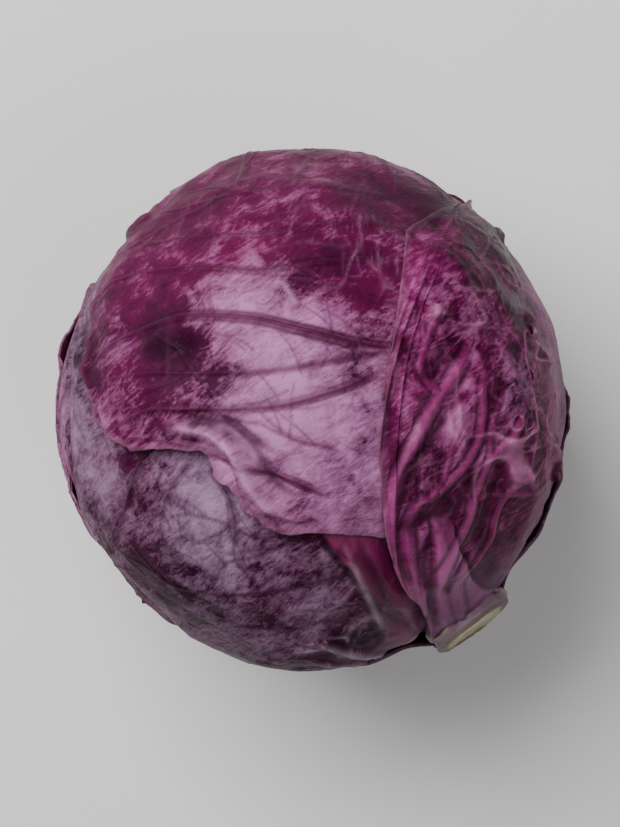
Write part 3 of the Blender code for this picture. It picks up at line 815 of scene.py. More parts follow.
@dataclass
class VeinNet:
    """The midrib, side ribs, forks and threads of one leaf. Metres, and radians for reaches.

    A pair for a rib, fork or thread holds its height and its half width.
    """

    leaf: FlatLeaf
    sight: Sight
    midrib_stations: tuple[float, ...] = (0.0, 0.06, 0.16, 0.35, 1.0)
    midrib_half_width: tuple[float, ...] = (0.0200, 0.0120, 0.0068, 0.0042, 0.0014)
    midrib_height: tuple[float, ...] = (0.0010, 0.0026, 0.0034, 0.0019, 0.0004)
    midrib_squareness: float = 2.4
    midrib_side: Pair = (0.8, 1.08)
    midrib_shade: Pair = (1.12, 0.16)
    shaded_height: float = 0.0012
    base_rib: Pair = (0.0017, 0.0019)
    far_rib: Pair = (0.0009, 0.0012)
    rib_stations: int = 60
    rib_jitter: float = 0.2
    rib_start: float = 0.05
    rib_spread: float = 0.78
    base_end: float = 0.35
    base_turn: float = 32.0
    far_turn: float = 58.0
    turn_jitter: float = 5.0
    rib_bend: Pair = (0.05, 0.30)
    rib_reach: float = radians(95)
    rib_wander: float = 1.3
    rib_end: Pair = (0.35, 0.6)
    drawn_end: Pair = (0.45, 0.6)
    forks_each: int = 2
    fork: Pair = (0.00055, 0.00065)
    fork_turn: Pair = (14, 34)
    drawn_fork_reach: float = radians(17)
    fork_reach: float = radians(20)
    threads_each: int = 4
    thread: Pair = (0.00028, 0.00045)
    thread_turn: Pair = (30, 75)
    thread_reach: float = radians(9)
    offshoot_place: Pair = (0.06, 0.92)
    offshoot_bend: Pair = (0.2, 1.4)
    offshoot_reach: Pair = (0.5, 1.3)
    offshoot_wander: float = 2.6
    offshoot_end: Pair = (0.3, 0.7)
    fewest_steps: int = 6
    slow_meander: float = 17.0
    fast_meander: float = 41.0
    fast_share: float = 0.8
    step: float = radians(0.5)
    inside_margin: float = radians(1.2)
    drawn_reach: Pair = (radians(52), radians(66))
    blending: float = 4.0
    valley_depth: float = 0.45
    valley_reach: float = 3.2
    rib_boldness: float = 1.5
    broad_rib: Pair = (0.0010, 0.0032)
    broad_midrib: Pair = (0.0012, 0.0040)
    broad_reach: float = 1.4
    rib_shade: Pair = (1.7, 0.6)

    def _walk(
        self, start: Array, ahead: Array, reach: float, bend: float, wander: float, phase: float
    ) -> Array:
        """A run of directions over the leaf.

        Args:
            start: The direction it starts from.
            ahead: Which way it sets off, square to start.
            reach: How far it goes, in radians.
            bend: How fast it turns to the left, in radians for each radian.
            wander: How strongly it meanders.
            phase: Where its meanders start.

        Returns:
            The run, cut off where it meets the margin.
        """
        run = [start]
        for number in range(int(reach / self.step)):
            gone = number * self.step
            swing = sin(self.slow_meander * gone + phase)
            swing += self.fast_share * sin(self.fast_meander * gone + 2.0 * phase)
            turn = (bend + wander * swing) * self.step
            side = np.cross(start, ahead)
            ahead = cos(turn) * ahead + sin(turn) * side
            start = start + self.step * ahead
            start = start / np.linalg.norm(start)
            ahead = ahead - (ahead @ start) * start
            ahead = ahead / np.linalg.norm(ahead)
            run.append(start)
        run = np.array(run)
        beyond = np.nonzero(self.leaf.outside(run) > -self.inside_margin)[0]
        beyond = beyond[beyond > 3]
        return run[: beyond[0]] if len(beyond) else run

    def _branch(self, run: Array, at: float, aside: float) -> tuple[Array, Array]:
        """A place on a run and a heading turned aside from it, in radians."""
        index = int(np.clip(at * len(run), 1, len(run) - 2))
        ahead = run[index + 1] - run[index - 1]
        ahead = ahead - (ahead @ run[index]) * run[index]
        ahead = ahead / np.linalg.norm(ahead)
        side = np.cross(run[index], ahead)
        return run[index], cos(aside) * ahead + sin(aside) * side

    def _drawn(self) -> list[Strand]:
        """The ribs that the plan draws on the leaf."""
        strands = []
        for rib in self.leaf.plan.ribs:
            points = self.sight.onto_head(rib.points)
            height = rib.height / MILLIMETRES
            width = rib.half_width / MILLIMETRES
            lower, narrower = self.drawn_end
            strands.append(Strand.through(points, (height, lower * height), (width, narrower * width)))
        return strands

    def _side_ribs(self, draw: np.random.Generator) -> list[Strand]:
        """The side ribs that grow out of the midrib on the rest of the leaf."""
        strands = []
        stations = np.linspace(0.0, 1.0, self.rib_stations)
        midrib = self.leaf.direction(self.leaf.flat(stations, np.zeros_like(stations)))
        count = self.leaf.plan.veins
        lower, narrower = self.rib_end
        for side in (1.0, -1.0):
            for number in range(count):
                share = max(number + draw.uniform(-self.rib_jitter, self.rib_jitter), 0.1) / (count - 1)
                station = self.rib_start + self.rib_spread * share**0.95
                low = float(np.clip(1.0 - station / self.base_end, 0.0, 1.0))
                height = self.far_rib[0] + (self.base_rib[0] - self.far_rib[0]) * low
                height *= self.leaf.plan.rib
                width = self.far_rib[1] + (self.base_rib[1] - self.far_rib[1]) * low
                aside = self.far_turn - (self.far_turn - self.base_turn) * low
                aside += draw.uniform(-self.turn_jitter, self.turn_jitter)
                start, ahead = self._branch(midrib, station, -side * radians(aside))
                bend = side * draw.uniform(*self.rib_bend)
                phase = draw.uniform(0.0, 2 * pi)
                run = self._walk(start, ahead, self.rib_reach, bend, self.rib_wander, phase)
                strands.append(Strand.through(run, (height, lower * height), (width, narrower * width)))
        return strands

    def _offshoots(
        self,
        parents: list[Strand],
        count: int,
        size: Pair,
        reach: float,
        turned: Pair,
        draw: np.random.Generator,
    ) -> list[Strand]:
        """Finer veins that leave others to either side.

        Args:
            parents: The veins they leave.
            count: How many leave each of them.
            size: Their height and half width.
            reach: About how far they go, in radians.
            turned: The least and the most that they turn aside, in degrees.
            draw: Where their chances come from.

        Returns:
            The finer veins.
        """
        strands = []
        height, width = size
        lower, narrower = self.offshoot_end
        for parent in parents:
            for _ in range(count):
                aside = draw.choice([-1.0, 1.0]) * radians(draw.uniform(*turned))
                start, ahead = self._branch(parent.run, draw.uniform(*self.offshoot_place), aside)
                bend = -np.sign(aside) * draw.uniform(*self.offshoot_bend)
                far = reach * draw.uniform(*self.offshoot_reach)
                phase = draw.uniform(0.0, 2 * pi)
                run = self._walk(start, ahead, far, bend, self.offshoot_wander, phase)
                if len(run) > self.fewest_steps:
                    sizes = (height, lower * height), (width, narrower * width)
                    strands.append(Strand.through(run, *sizes))
        return strands

    def _grow(self, away: Array, draw: np.random.Generator) -> tuple[list[Strand], list[Lot]]:
        """All the veins but the midrib.

        Args:
            away: The direction of each point of the blade from the middle of the head.
            draw: Where their chances come from.

        Returns:
            The threads, and the lots of ribs and forks, each with where it shows, from 0 to 1.
        """
        grown = self._side_ribs(draw)
        drawn = self._drawn()
        looks = (self.fork, self.drawn_fork_reach, self.fork_turn)
        forks = self._offshoots(drawn or grown, self.forks_each, *looks, draw)
        lots: list[Lot] = [(grown, 1.0), (forks, 1.0)]
        if drawn:
            toward = self.sight.onto_head([(0.0, 0.0)])[0]
            elsewhere = smooth_step(*self.drawn_reach, angle_between(away, toward))
            looks = (self.fork, self.fork_reach, self.fork_turn)
            far_forks = self._offshoots(grown, self.forks_each, *looks, draw)
            lots = [(grown, elsewhere), (forks, 1.0), (drawn, 1.0), (far_forks, elsewhere)]
        looks = (self.thread, self.thread_reach, self.thread_turn)
        return self._offshoots(drawn + grown, self.threads_each, *looks, draw), lots

    def relief(self, along: Array, share: Array, places: Array, per_share: Array, radii: Radii) -> Relief:
        """The veins' relief over the blade.

        Args:
            along: Stations along the midrib, 0 to 1.
            share: Stations out from it, -1 to 1.
            places: Where each point of the blade lies.
            per_share: Metres for one whole step out, square to the midrib.
            radii: What gives the leaf's distance from the middle in a direction.

        Returns:
            The relief and its marks.
        """
        draw = np.random.default_rng(self.leaf.plan.seed * 7 + 1)
        middle = self.leaf.form.middle
        away = places - middle
        away = away / np.linalg.norm(away, axis=-1, keepdims=True)
        threads, lots = self._grow(away, draw)
        power = self.blending
        powered = np.zeros_like(along)
        valley = np.zeros_like(along)
        rib = np.zeros_like(along)
        broad = np.zeros_like(along)
        shade = np.zeros_like(along)
        for strands, shown in lots:
            ridge, off, tall, wide = Tangle(strands, middle).stand(places, radii)
            powered += (ridge * shown) ** power
            valley = np.maximum(valley, tall * bell(off, self.valley_reach) * shown)
            strength = np.clip(tall / self.base_rib[0] * self.rib_boldness, 0.0, 1.0) * shown
            rib = np.maximum(rib, bell(off) * strength)
            broad_here = smooth_step(*self.broad_rib, wide) * shown
            broad = np.maximum(broad, bell(off, self.broad_reach) * broad_here)
            # Painted shade: a dark band to each side of a rib
            station, spread = self.rib_shade
            shade = np.maximum(shade, bell(off - station, spread) * strength**2)
        ridge, off, _, _ = Tangle(threads, middle).stand(places, radii)
        powered += ridge**power
        thread = bell(off)
        half = np.interp(along, self.midrib_stations, self.midrib_half_width) * self.leaf.plan.rib
        tall = np.interp(along, self.midrib_stations, self.midrib_height) * self.leaf.plan.rib
        lasting = 1.0 - smooth_step(*self.leaf.plan.midrib_fades, along)
        tall = tall * lasting
        off = np.abs(share) * per_share / half
        powered += (tall * np.sqrt(np.clip(1.0 - off**self.midrib_squareness, 0.0, 1.0))) ** power
        # Painted shade: a dark band to each side of the midrib
        station, spread = self.midrib_shade
        beside = bell(off - station, spread) * np.clip(tall / self.shaded_height, 0.0, 1.0)
        on_midrib = (1.0 - smooth_step(*self.midrib_side, off)) * lasting
        return Relief(
            height=powered ** (1.0 / power) - self.valley_depth * valley,
            rib=np.maximum(rib, on_midrib),
            broad=np.maximum(broad, on_midrib * smooth_step(*self.broad_midrib, half)),
            shade=np.maximum(shade, beside),
            thread=thread,
        )


@dataclass
class WrapperLeaf:
    """One wrapper leaf as a thin waxy blade with ribs, puckers, creases and a curled margin.

    Metres, but stations along and out of the blade run from 0 to 1. The blade folds over at its
    margins to show a rim, and settles onto what it lies on as it nears them.
    """

    layering: Layering
    sight: Sight
    index: int
    margin_blade: float = 0.0008
    inner_blade: float = 0.0012
    fold: tuple[float, ...] = (1.0, 0.990, 0.965, 0.92)
    side_rim: float = 1.002
    end_rim: float = 1.001
    rim_depth: float = 0.5
    spacing_step: float = 1e-3
    settle_reach: float = 0.014
    settled_relief: float = 0.5
    settled_pucker: float = 0.4
    foot_hold: float = 0.020
    foot_holds: Pair = (0.06, 0.22)
    resting: Pair = (radians(13), radians(24))
    fold_fade: Pair = (0.3, 0.25)
    sharp_fold: float = 1.2
    pucker: float = 0.0008
    pucker_size: float = 0.030
    dimple_size: float = 0.013
    dimple_share: float = 0.6
    crease: float = 0.0008
    fine_crease: Pair = (0.011, 7.0)
    finer_crease: Pair = (0.0052, 6.0)
    crumpled_patch: float = 0.036
    crumpled_from: Pair = (-0.35, 0.45)
    crumpled_margin: float = 0.7
    most_crumpled: float = 1.6
    crest_sharpness: float = 2.5
    crest_on_folds: float = 0.8
    curl: float = 0.0024
    curl_waves: float = 1.7
    curl_reach: float = 0.006
    curl_start: Pair = (0.12, 0.3)
    foot_mark: Pair = (radians(12), radians(30))
    margin_mark: float = 0.0026
    bloom_patch: float = 0.040

    @property
    def leaf(self) -> FlatLeaf:
        """The flat leaf that this one wraps."""
        return self.layering.leaves[self.index]

    @property
    def plan(self) -> LeafPlan:
        """The leaf's plan."""
        return self.leaf.plan

    def _floor(self, directions: Array) -> Array:
        """The outer face of what this leaf lies on."""
        return self.layering.floor_of(self.index, directions)

    def _stations(self) -> tuple[Array, Array, Array]:
        """The grid of the blade, folded over at its margins.

        Returns:
            Stations along and out, and how deep into the blade each point lies, from 0 to 1.
        """
        under = np.array(self.fold)
        left = np.linspace(0.0, 1.0, self.plan.left_columns)
        right = np.linspace(-1.0, 0.0, self.plan.right_columns)[:-1]
        share = np.concatenate([-under[::-1], [-self.side_rim], right, left, [self.side_rim], under])
        side_depth = np.ones_like(share)
        count = len(self.fold)
        side_depth[count + 1 : -count - 1] = 0.0
        side_depth[[count, -count - 1]] = self.rim_depth
        along = np.concatenate([np.linspace(0.0, 1.0, self.plan.rows), [self.end_rim], under])
        end_depth = np.ones_like(along)
        end_depth[: self.plan.rows] = 0.0
        end_depth[self.plan.rows] = self.rim_depth
        depth = np.maximum(end_depth[:, None], side_depth[None, :])
        shape = depth.shape
        return (
            np.broadcast_to(along[:, None], shape).copy(),
            np.broadcast_to(share[None, :], shape).copy(),
            depth,
        )

    def _spacing(self, along: Array, share: Array, places: Array) -> Array:
        """Metres for one whole step out along a vein, square to the midrib."""
        step = self.spacing_step
        radius = np.linalg.norm(places - self.layering.form.middle, axis=-1)[..., None]
        corners = [(along + step, share), (along - step, share), (along, share + step), (along, share - step)]
        ahead, behind, outer, inner = (self.leaf.direction(self.leaf.flat(*at)) * radius for at in corners)
        by_along = (ahead - behind) / (2 * step)
        by_share = (outer - inner) / (2 * step)
        area = np.linalg.norm(np.cross(by_along, by_share), axis=-1)
        return area / np.maximum(np.linalg.norm(by_along, axis=-1), TINY)

    def _folds(self, places: Array) -> tuple[Array, Array, Array]:
        """The drawn folds.

        Args:
            places: Where each point of the blade lies.

        Returns:
            How far they stand out in metres, and masks of the hollows, where shade is painted, and of the
            sharp folds, which carry a painted highlight.
        """
        rise = np.zeros(places.shape[:-1])
        hollow = np.zeros(places.shape[:-1])
        sharp = np.zeros(places.shape[:-1])
        end_fade, root_fade = self.fold_fade
        for fold in self.plan.folds:
            points = self.sight.onto_head(fold.points)
            width = fold.half_width / MILLIMETRES
            strand = Strand.through(points, (1.0, 1.0), (width, width), end_fade)
            share = np.linspace(0.0, 1.0, len(strand.run))
            strand.height = strand.height * smooth_step(0.0, root_fade, share)
            ridge, _, _, _ = Tangle([strand], self.layering.form.middle).stand(places, self._floor)
            rise += fold.height / MILLIMETRES * ridge
            if fold.height < 0:
                hollow = np.maximum(hollow, ridge)
            if fold.height > self.sharp_fold:
                sharp = np.maximum(sharp, ridge**2)
        return rise, hollow, sharp

    def _crumples(
        self, grain: Grain, places: Array, settled: Array, sharp: Array
    ) -> tuple[Array, Array]:
        """The fine crumpling of the skin.

        Args:
            grain: The leaf's own noise.
            places: Where each point of the blade lies.
            settled: 1 at the margin and 0 well inside it.
            sharp: The mask of the sharp folds.

        Returns:
            How far it stands out in metres, and a mask of its crests and those of the sharp folds, where a
            highlight is painted.
        """
        patch = smooth_step(*self.crumpled_from, grain.at(places + 3.0, self.crumpled_patch))
        worn = self.plan.crumple * np.maximum(patch, self.crumpled_margin * settled)
        worn = np.clip(worn + self.sight.patches(places, self.plan.crumples), 0.0, self.most_crumpled)
        fine = grain.creases(places, *self.fine_crease)
        finer = grain.creases(places + 5.0, *self.finer_crease)
        # The crests, where a highlight is painted on the colour
        crest_sheen = (worn * np.maximum(fine, 0.7 * finer)) ** self.crest_sharpness
        crest_sheen = np.clip(crest_sheen + self.crest_on_folds * sharp, 0.0, 1.0)
        return self.crease * worn * (fine - 0.25 + 0.45 * (finer - 0.3)), crest_sheen

    def _curls(self, places: Array, along: Array, share: Array, to_margin: Array) -> Array:
        """How far the margin curls up off what it lies on, in metres."""
        wave = smooth_step(0.0, 0.9, self.leaf.wave(along * self.curl_waves + share, 4))
        lift = self.curl * wave + self.sight.patches(places, self.plan.curls) / MILLIMETRES
        return lift * np.exp(-to_margin / self.curl_reach) * smooth_step(*self.curl_start, along)

    def build(self) -> bpy.types.Object:
        """Makes the leaf's mesh with its marks.

        Returns:
            The new leaf, in the scene.
        """
        along, share, depth = self._stations()
        flat = self.leaf.flat(along, share)
        directions = self.leaf.direction(flat)
        form = self.layering.form
        floor = self._floor(directions)
        bare = self.layering.bare(self.index, directions)
        places = form.middle + directions * floor[..., None]
        per_share = self._spacing(along, share, places)

        to_margin = np.clip(-self.leaf.outside(directions), 0.0, None) * floor
        held = self.foot_hold * (1.0 - smooth_step(*self.foot_holds, along))
        to_margin = np.maximum(to_margin, held)
        settled = 1.0 - smooth_step(0.0, self.settle_reach, to_margin)
        thickness = self.margin_blade + (self.inner_blade - self.margin_blade) * (1.0 - settled)

        veins = VeinNet(self.leaf, self.sight).relief(along, share, places, per_share, self._floor)
        folds, hollow, sharp = self._folds(places)
        grain = Grain(self.plan.seed)
        crumpled, crest_sheen = self._crumples(grain, places, settled, sharp)
        swell = grain.layered(places, self.pucker_size, 2)
        swell = swell + self.dimple_share * grain.layered(places + 1.0, self.dimple_size, 2)
        relief = veins.height * (1.0 - (1.0 - self.settled_relief) * settled)
        relief = relief + self.pucker * swell * (1.0 - (1.0 - self.settled_pucker) * settled) + crumpled

        free = smooth_step(*self.resting, angle_between(directions, DOWN))
        lift = self._curls(places, along, share, to_margin) * smooth_step(0.0, 1.0, bare)
        raised = self.layering.layer - (self.layering.layer - self.margin_blade) * settled
        raised = raised + (relief + folds + lift) * bare * free
        outer = floor + np.maximum(raised, thickness)
        radius = outer - depth * thickness
        points = form.middle + directions * radius[..., None]
        points[..., 2] = np.maximum(points[..., 2], depth * thickness)

        piece = grid_object(self.plan.node + "_skin", points)
        foot = 1.0 - smooth_step(*self.foot_mark, angle_between(directions, form.axis))
        margin = 1.0 - smooth_step(0.0, self.margin_mark, to_margin)
        bloom = self.plan.bloom * (0.85 + 0.35 * grain.layered(places + 7.0, self.bloom_patch, 3))
        bloom = np.clip(bloom + self.sight.patches(places, self.plan.blooms), 0.0, 1.0)
        # Painted shade: the colour darkens beside the ribs and in the hollows of the folds
        shade = np.maximum(veins.shade, hollow)
        paint(piece, "marks", veins.rib, shade, margin, crest_sheen)
        paint(piece, "places", bloom, foot, veins.thread, veins.broad)
        chart(piece, flat)
        return piece


def grid_object(name: str, points: Array, wraps: bool = False) -> bpy.types.Object:
    """A smooth mesh over a grid of points, facing away from the middle of the head.

    Args:
        name: The piece's name.
        points: The grid's places in metres, (rows, columns, 3).
        wraps: Whether the last column joins the first.

    Returns:
        The new object, linked to the scene.
    """
    rows, columns = points.shape[:2]
    number = np.arange(rows * columns).reshape(rows, columns)
    nearer, farther = (number, np.roll(number, -1, axis=1)) if wraps else (number[:, :-1], number[:, 1:])
    quads = np.stack([nearer[:-1], farther[:-1], farther[1:], nearer[1:]], -1).reshape(-1, 4)
    flat_points = points.reshape(-1, 3)
    corners = flat_points[quads]
    facing = np.cross(corners[:, 2] - corners[:, 0], corners[:, 3] - corners[:, 1])
    outward = (facing * (corners.mean(1) - flat_points.mean(0))).sum(-1)
    if np.median(outward) < 0:
        quads = quads[:, ::-1]
    mesh = bpy.data.meshes.new(name)
    mesh.vertices.add(len(flat_points))
    mesh.vertices.foreach_set("co", flat_points.astype(np.float32).ravel())
    mesh.loops.add(quads.size)
    mesh.loops.foreach_set("vertex_index", quads.astype(np.int32).ravel())
    mesh.polygons.add(len(quads))
    mesh.polygons.foreach_set("loop_start", np.arange(0, quads.size, 4, dtype=np.int32))
    mesh.update(calc_edges=True)
    mesh.validate()
    mesh.shade_smooth()
    piece = bpy.data.objects.new(name, mesh)
    bpy.context.scene.collection.objects.link(piece)
    return piece


def paint(piece: bpy.types.Object, name: str, *channels: Array) -> None:
    """Stores four masks, one value for each vertex of a piece, as one attribute."""
    layer = piece.data.attributes.new(name, "FLOAT_COLOR", "POINT")
    values = np.stack([channel.ravel() for channel in channels], -1).astype(np.float32)
    layer.data.foreach_set("color", values.ravel())


def chart(piece: bpy.types.Object, flat: Array) -> None:
    """Gives a piece the flat leaf as its map, with 1 for each tenth of a radian."""
    layer = piece.data.uv_layers.new(name="flat_leaf")
    index = np.empty(len(piece.data.loops), dtype=np.int32)
    piece.data.loops.foreach_get("vertex_index", index)
    layer.data.foreach_set("uv", (flat.reshape(-1, 2)[index] * 10.0).astype(np.float32).ravel())


class Term:
    """A value in a shader, for sums written as plain Python."""

    def __init__(self, recipe: "Recipe", socket: bpy.types.NodeSocket) -> None:
        """Wraps one output socket of a recipe's tree."""
        self.recipe = recipe
        self.socket = socket

    def _sum(self, operation: str, first: "Value", second: "Value") -> "Term":
        """Adds one Math node."""
        return self.recipe.node("ShaderNodeMath", {"operation": operation}, {0: first, 1: second})

    def __add__(self, other: "Value") -> "Term":
        """self + other."""
        return self._sum("ADD", self, other)

    __radd__ = __add__

    def __mul__(self, other: "Value") -> "Term":
        """self * other."""
        return self._sum("MULTIPLY", self, other)

    __rmul__ = __mul__

    def __sub__(self, other: "Value") -> "Term":
        """self - other."""
        return self._sum("SUBTRACT", self, other)

    def __rsub__(self, other: "Value") -> "Term":
        """other - self."""
        return self._sum("SUBTRACT", other, self)

    def held(self) -> "Term":
        """The value kept between 0 and 1."""
        return self.recipe.node("ShaderNodeClamp", {}, {"Value": self})

    def stretched(self, low: float, high: float) -> "Term":
        """The value mapped so that low becomes 0 and high becomes 1, smoothly."""
        settings = {"interpolation_type": "SMOOTHSTEP"}
        sockets = {"Value": self, "From Min": low, "From Max": high}
        return self.recipe.node("ShaderNodeMapRange", settings, sockets)


Value = Union[Term, float, Sequence[float]]


@dataclass(frozen=True)
class Cloud:
    """A cloudy noise: how fine it is, how much detail it has and how far it is pulled about."""

    scale: float
    detail: float
    distortion: float = 0.0


class Recipe:
    """A material under construction."""

    def __init__(self, name: str) -> None:
        """Starts an empty material with a Principled shader."""
        self.material = bpy.data.materials.new(name)
        self.material.use_nodes = True
        self.tree = self.material.node_tree
        self.shader = self.tree.nodes["Principled BSDF"]

    def node(
        self,
        kind: str,
        settings: dict[str, Any],
        sockets: dict[Union[int, str], Value],
        output: Union[int, str] = 0,
    ) -> Term:
        """Adds a node.

        Args:
            kind: The node's type.
            settings: The node's own properties, set first.
            sockets: Values or links for its inputs.
            output: Which output to hand back.

        Returns:
            That output.
        """
        made = self.tree.nodes.new(kind)
        for key, setting in settings.items():
            setattr(made, key, setting)
        for key, value in sockets.items():
            self.feed(made.inputs[key], value)
        return Term(self, made.outputs[output])

    def feed(self, socket: bpy.types.NodeSocket, value: Value) -> None:
        """Links a term to a socket, or sets a plain value on it."""
        if isinstance(value, Term):
            self.tree.links.new(value.socket, socket)
        else:
            socket.default_value = value

    def other(self, term: Term, output: Union[int, str]) -> Term:
        """Another output of the node that a term comes from."""
        return Term(self, term.socket.node.outputs[output])

    def mixed(self, first: Value, second: Value, share: Value) -> Term:
        """One colour turned into another by a share."""
        colours = [(*v, 1.0) if isinstance(v, tuple) else v for v in (first, second)]
        settings = {"data_type": "RGBA", "clamp_factor": True}
        return self.node("ShaderNodeMix", settings, {0: share, 6: colours[0], 7: colours[1]}, 2)

    def masks(self, attribute: str) -> tuple[Term, Term, Term, Term]:
        """The four masks that a painted attribute holds."""
        read = self.node("ShaderNodeAttribute", {"attribute_name": attribute}, {}, "Color")
        split = self.node("ShaderNodeSeparateColor", {}, {0: read})
        return split, self.other(split, 1), self.other(split, 2), self.other(read, "Alpha")

    def noise(self, place: Value, kind: Cloud) -> Term:
        """Cloudy noise between 0 and 1."""
        sockets = {"Scale": kind.scale, "Detail": kind.detail, "Distortion": kind.distortion}
        return self.node("ShaderNodeTexNoise", {}, {"Vector": place, **sockets})

    def finish(self, colour: Value, roughness: Value, bump: Term, depth: float) -> bpy.types.Material:
        """Feeds the shader with its varying colour, roughness and relief.

        Args:
            colour: The surface's colour.
            roughness: Its roughness.
            bump: Its fine relief, 0 to 1.
            depth: The relief's depth in metres.

        Returns:
            The finished material.
        """
        self.feed(self.shader.inputs["Base Color"], colour)
        self.feed(self.shader.inputs["Roughness"], roughness)
        normal = self.node("ShaderNodeBump", {}, {"Strength": 1.0, "Distance": depth, "Height": bump})
        self.feed(self.shader.inputs["Normal"], normal)
        return self.material


@dataclass(frozen=True)
class LeafFinish:
    """A waxy red cabbage leaf. Colours are linear.

    Its bloom is patchy, and rubbed off the ribs. Streaks and fibres run along the flat leaf.
    Shade is painted dark beside the ribs and in the hollows of folds, and a highlight on the crests.
    """

    name: str
    flesh: Colour = (0.042, 0.0030, 0.024)
    flush: Colour = (0.135, 0.004, 0.056)
    rib: Colour = (0.150, 0.0030, 0.045)
    vein: Colour = (0.050, 0.0015, 0.022)
    bloom: Colour = (0.440, 0.180, 0.370)
    # Painted shade: the near-black laid beside the ribs and in the hollows of the folds
    painted_shade: Colour = (0.006, 0.0004, 0.003)
    margin: Colour = (0.150, 0.060, 0.095)
    foot: Colour = (0.220, 0.150, 0.190)
    # Painted highlight colour on the crests of the crumples and sharp folds
    crest_sheen: Colour = (0.500, 0.230, 0.410)
    rib_strength: float = 0.85
    rubbed_roughness: float = 0.36
    bloom_roughness: float = 0.52
    gloss: float = 0.25
    gloss_roughness: float = 0.27
    shine: float = 0.04
    grain_depth: float = 0.0008
    flushed: float = 0.42
    bloom_gain: float = 1.25
    bloom_lost: float = 0.14
    bloom_cover: float = 0.92
    cloud: Cloud = Cloud(24.0, 4.0)
    mottle: Cloud = Cloud(120.0, 5.0, 0.5)
    speck: Cloud = Cloud(700.0, 3.0)
    streak: Cloud = Cloud(1.3, 6.0, 1.6)
    fibre: Cloud = Cloud(7.5, 4.0, 1.0)
    streak_stretch: Triple = (0.8, 2.0, 1.0)

    def make(self) -> bpy.types.Material:
        """Builds the material."""
        recipe = Recipe(self.name)
        rib, shade, margin, crest_sheen = recipe.masks("marks")
        bloom, foot, thread, broad = recipe.masks("places")
        place = recipe.node("ShaderNodeTexCoord", {}, {}, "Object")
        cloud, mottle, speck = (recipe.noise(place, kind) for kind in (self.cloud, self.mottle, self.speck))
        flat_place = recipe.node("ShaderNodeUVMap", {"uv_map": "flat_leaf"}, {})
        sockets = {0: flat_place, 1: self.streak_stretch}
        flat_place = recipe.node("ShaderNodeVectorMath", {"operation": "MULTIPLY"}, sockets)
        streak, fibre = (recipe.noise(flat_place, kind) for kind in (self.streak, self.fibre))

        flush = 2.4 * (cloud - 0.5) + 0.9 * (streak - 0.5) + 1.3 * (mottle - 0.5) + self.flushed
        body = recipe.mixed(self.flesh, self.flush, flush.held())
        waxy = bloom * self.bloom_gain + 1.5 * (cloud - 0.5) + 1.2 * (streak - 0.5)
        waxy = waxy + 1.5 * (mottle - 0.5) - self.bloom_lost + 0.9 * (fibre - 0.5)
        # Less bloom where shade is painted beside the ribs and in hollows, which darkens the painted shade
        # further
        waxy = waxy.held() * (1.0 - self.rib_strength * rib) * (1.0 - 0.34 * thread) * (1.0 - 0.3 * shade)
        body = recipe.mixed(body, self.bloom, (waxy * self.bloom_cover).held())
        vein = recipe.mixed(self.vein, self.rib, broad)
        # Each layer's colour and mask, how strong it is at least, and what the mottle adds to that
        for colour, mask, least, added in (
            (vein, rib * self.rib_strength, 0.60, 0.7),
            (vein, thread, -0.15, 0.7),
            # Painted shade beside the ribs and in the hollows
            (self.painted_shade, shade, 0.40, 0.6),
            (self.margin, margin, 0.15, 0.6),
            (self.foot, foot, 0.25, 0.9),
            # Painted highlight on the crests
            (self.crest_sheen, crest_sheen, -0.15, 1.3),
        ):
            body = recipe.mixed(body, colour, (mask * (least + added * mottle)).held())

        spread = self.bloom_roughness - self.rubbed_roughness
        roughness = self.rubbed_roughness + spread * waxy + 0.18 * (mottle - 0.5) + 0.10 * (speck - 0.5)
        waxed = ((crest_sheen * crest_sheen + rib * 0.5) * (0.4 + mottle)).held() * self.gloss
        recipe.feed(recipe.shader.inputs["Coat Weight"], waxed)
        recipe.feed(recipe.shader.inputs["Coat Roughness"], self.gloss_roughness)
        recipe.feed(recipe.shader.inputs["Specular IOR Level"], self.shine)
        relief = 0.45 * mottle + 0.12 * speck + 0.30 * streak + 0.28 * fibre
        return recipe.finish(body, roughness.held(), relief, self.grain_depth)


@dataclass(frozen=True)
class StalkFinish:
    """The cut stalk: a greenish-cream face with a browned rim, and pale purple-grey sides."""

    name: str = "stalk_flesh"
    face: Colour = (0.30, 0.28, 0.16)
    pith: Colour = (0.42, 0.38, 0.25)
    browned: Colour = (0.085, 0.052, 0.026)
    side: Colour = (0.150, 0.085, 0.125)
    scar: Colour = (0.27, 0.22, 0.16)
    dullness: float = 0.62
    grain_depth: float = 0.0006
    cloud: Cloud = Cloud(90.0, 4.0)
    fibre: Cloud = Cloud(520.0, 3.0, 0.6)

    def make(self) -> bpy.types.Material:
        """Builds the material."""
        recipe = Recipe(self.name)
        cut, rim, scar, pith = recipe.masks("marks")
        place = recipe.node("ShaderNodeTexCoord", {}, {}, "Object")
        cloud = recipe.noise(place, self.cloud)
        fibre = recipe.noise(place, self.fibre)
        body = recipe.mixed(self.side, self.scar, (scar * (0.4 + cloud)).held())
        face = recipe.mixed(self.face, self.pith, (pith * (0.5 + cloud)).held())
        face = recipe.mixed(face, self.browned, (rim * (0.5 + 0.8 * cloud) + 0.35 * (cloud - 0.45)).held())
        body = recipe.mixed(body, face, cut)
        body = recipe.mixed(body, self.browned, ((fibre - 0.52) * 1.4).held())
        roughness = self.dullness + 0.25 * (cloud - 0.5)
        return recipe.finish(body, roughness, 0.6 * fibre + 0.4 * cloud, self.grain_depth)


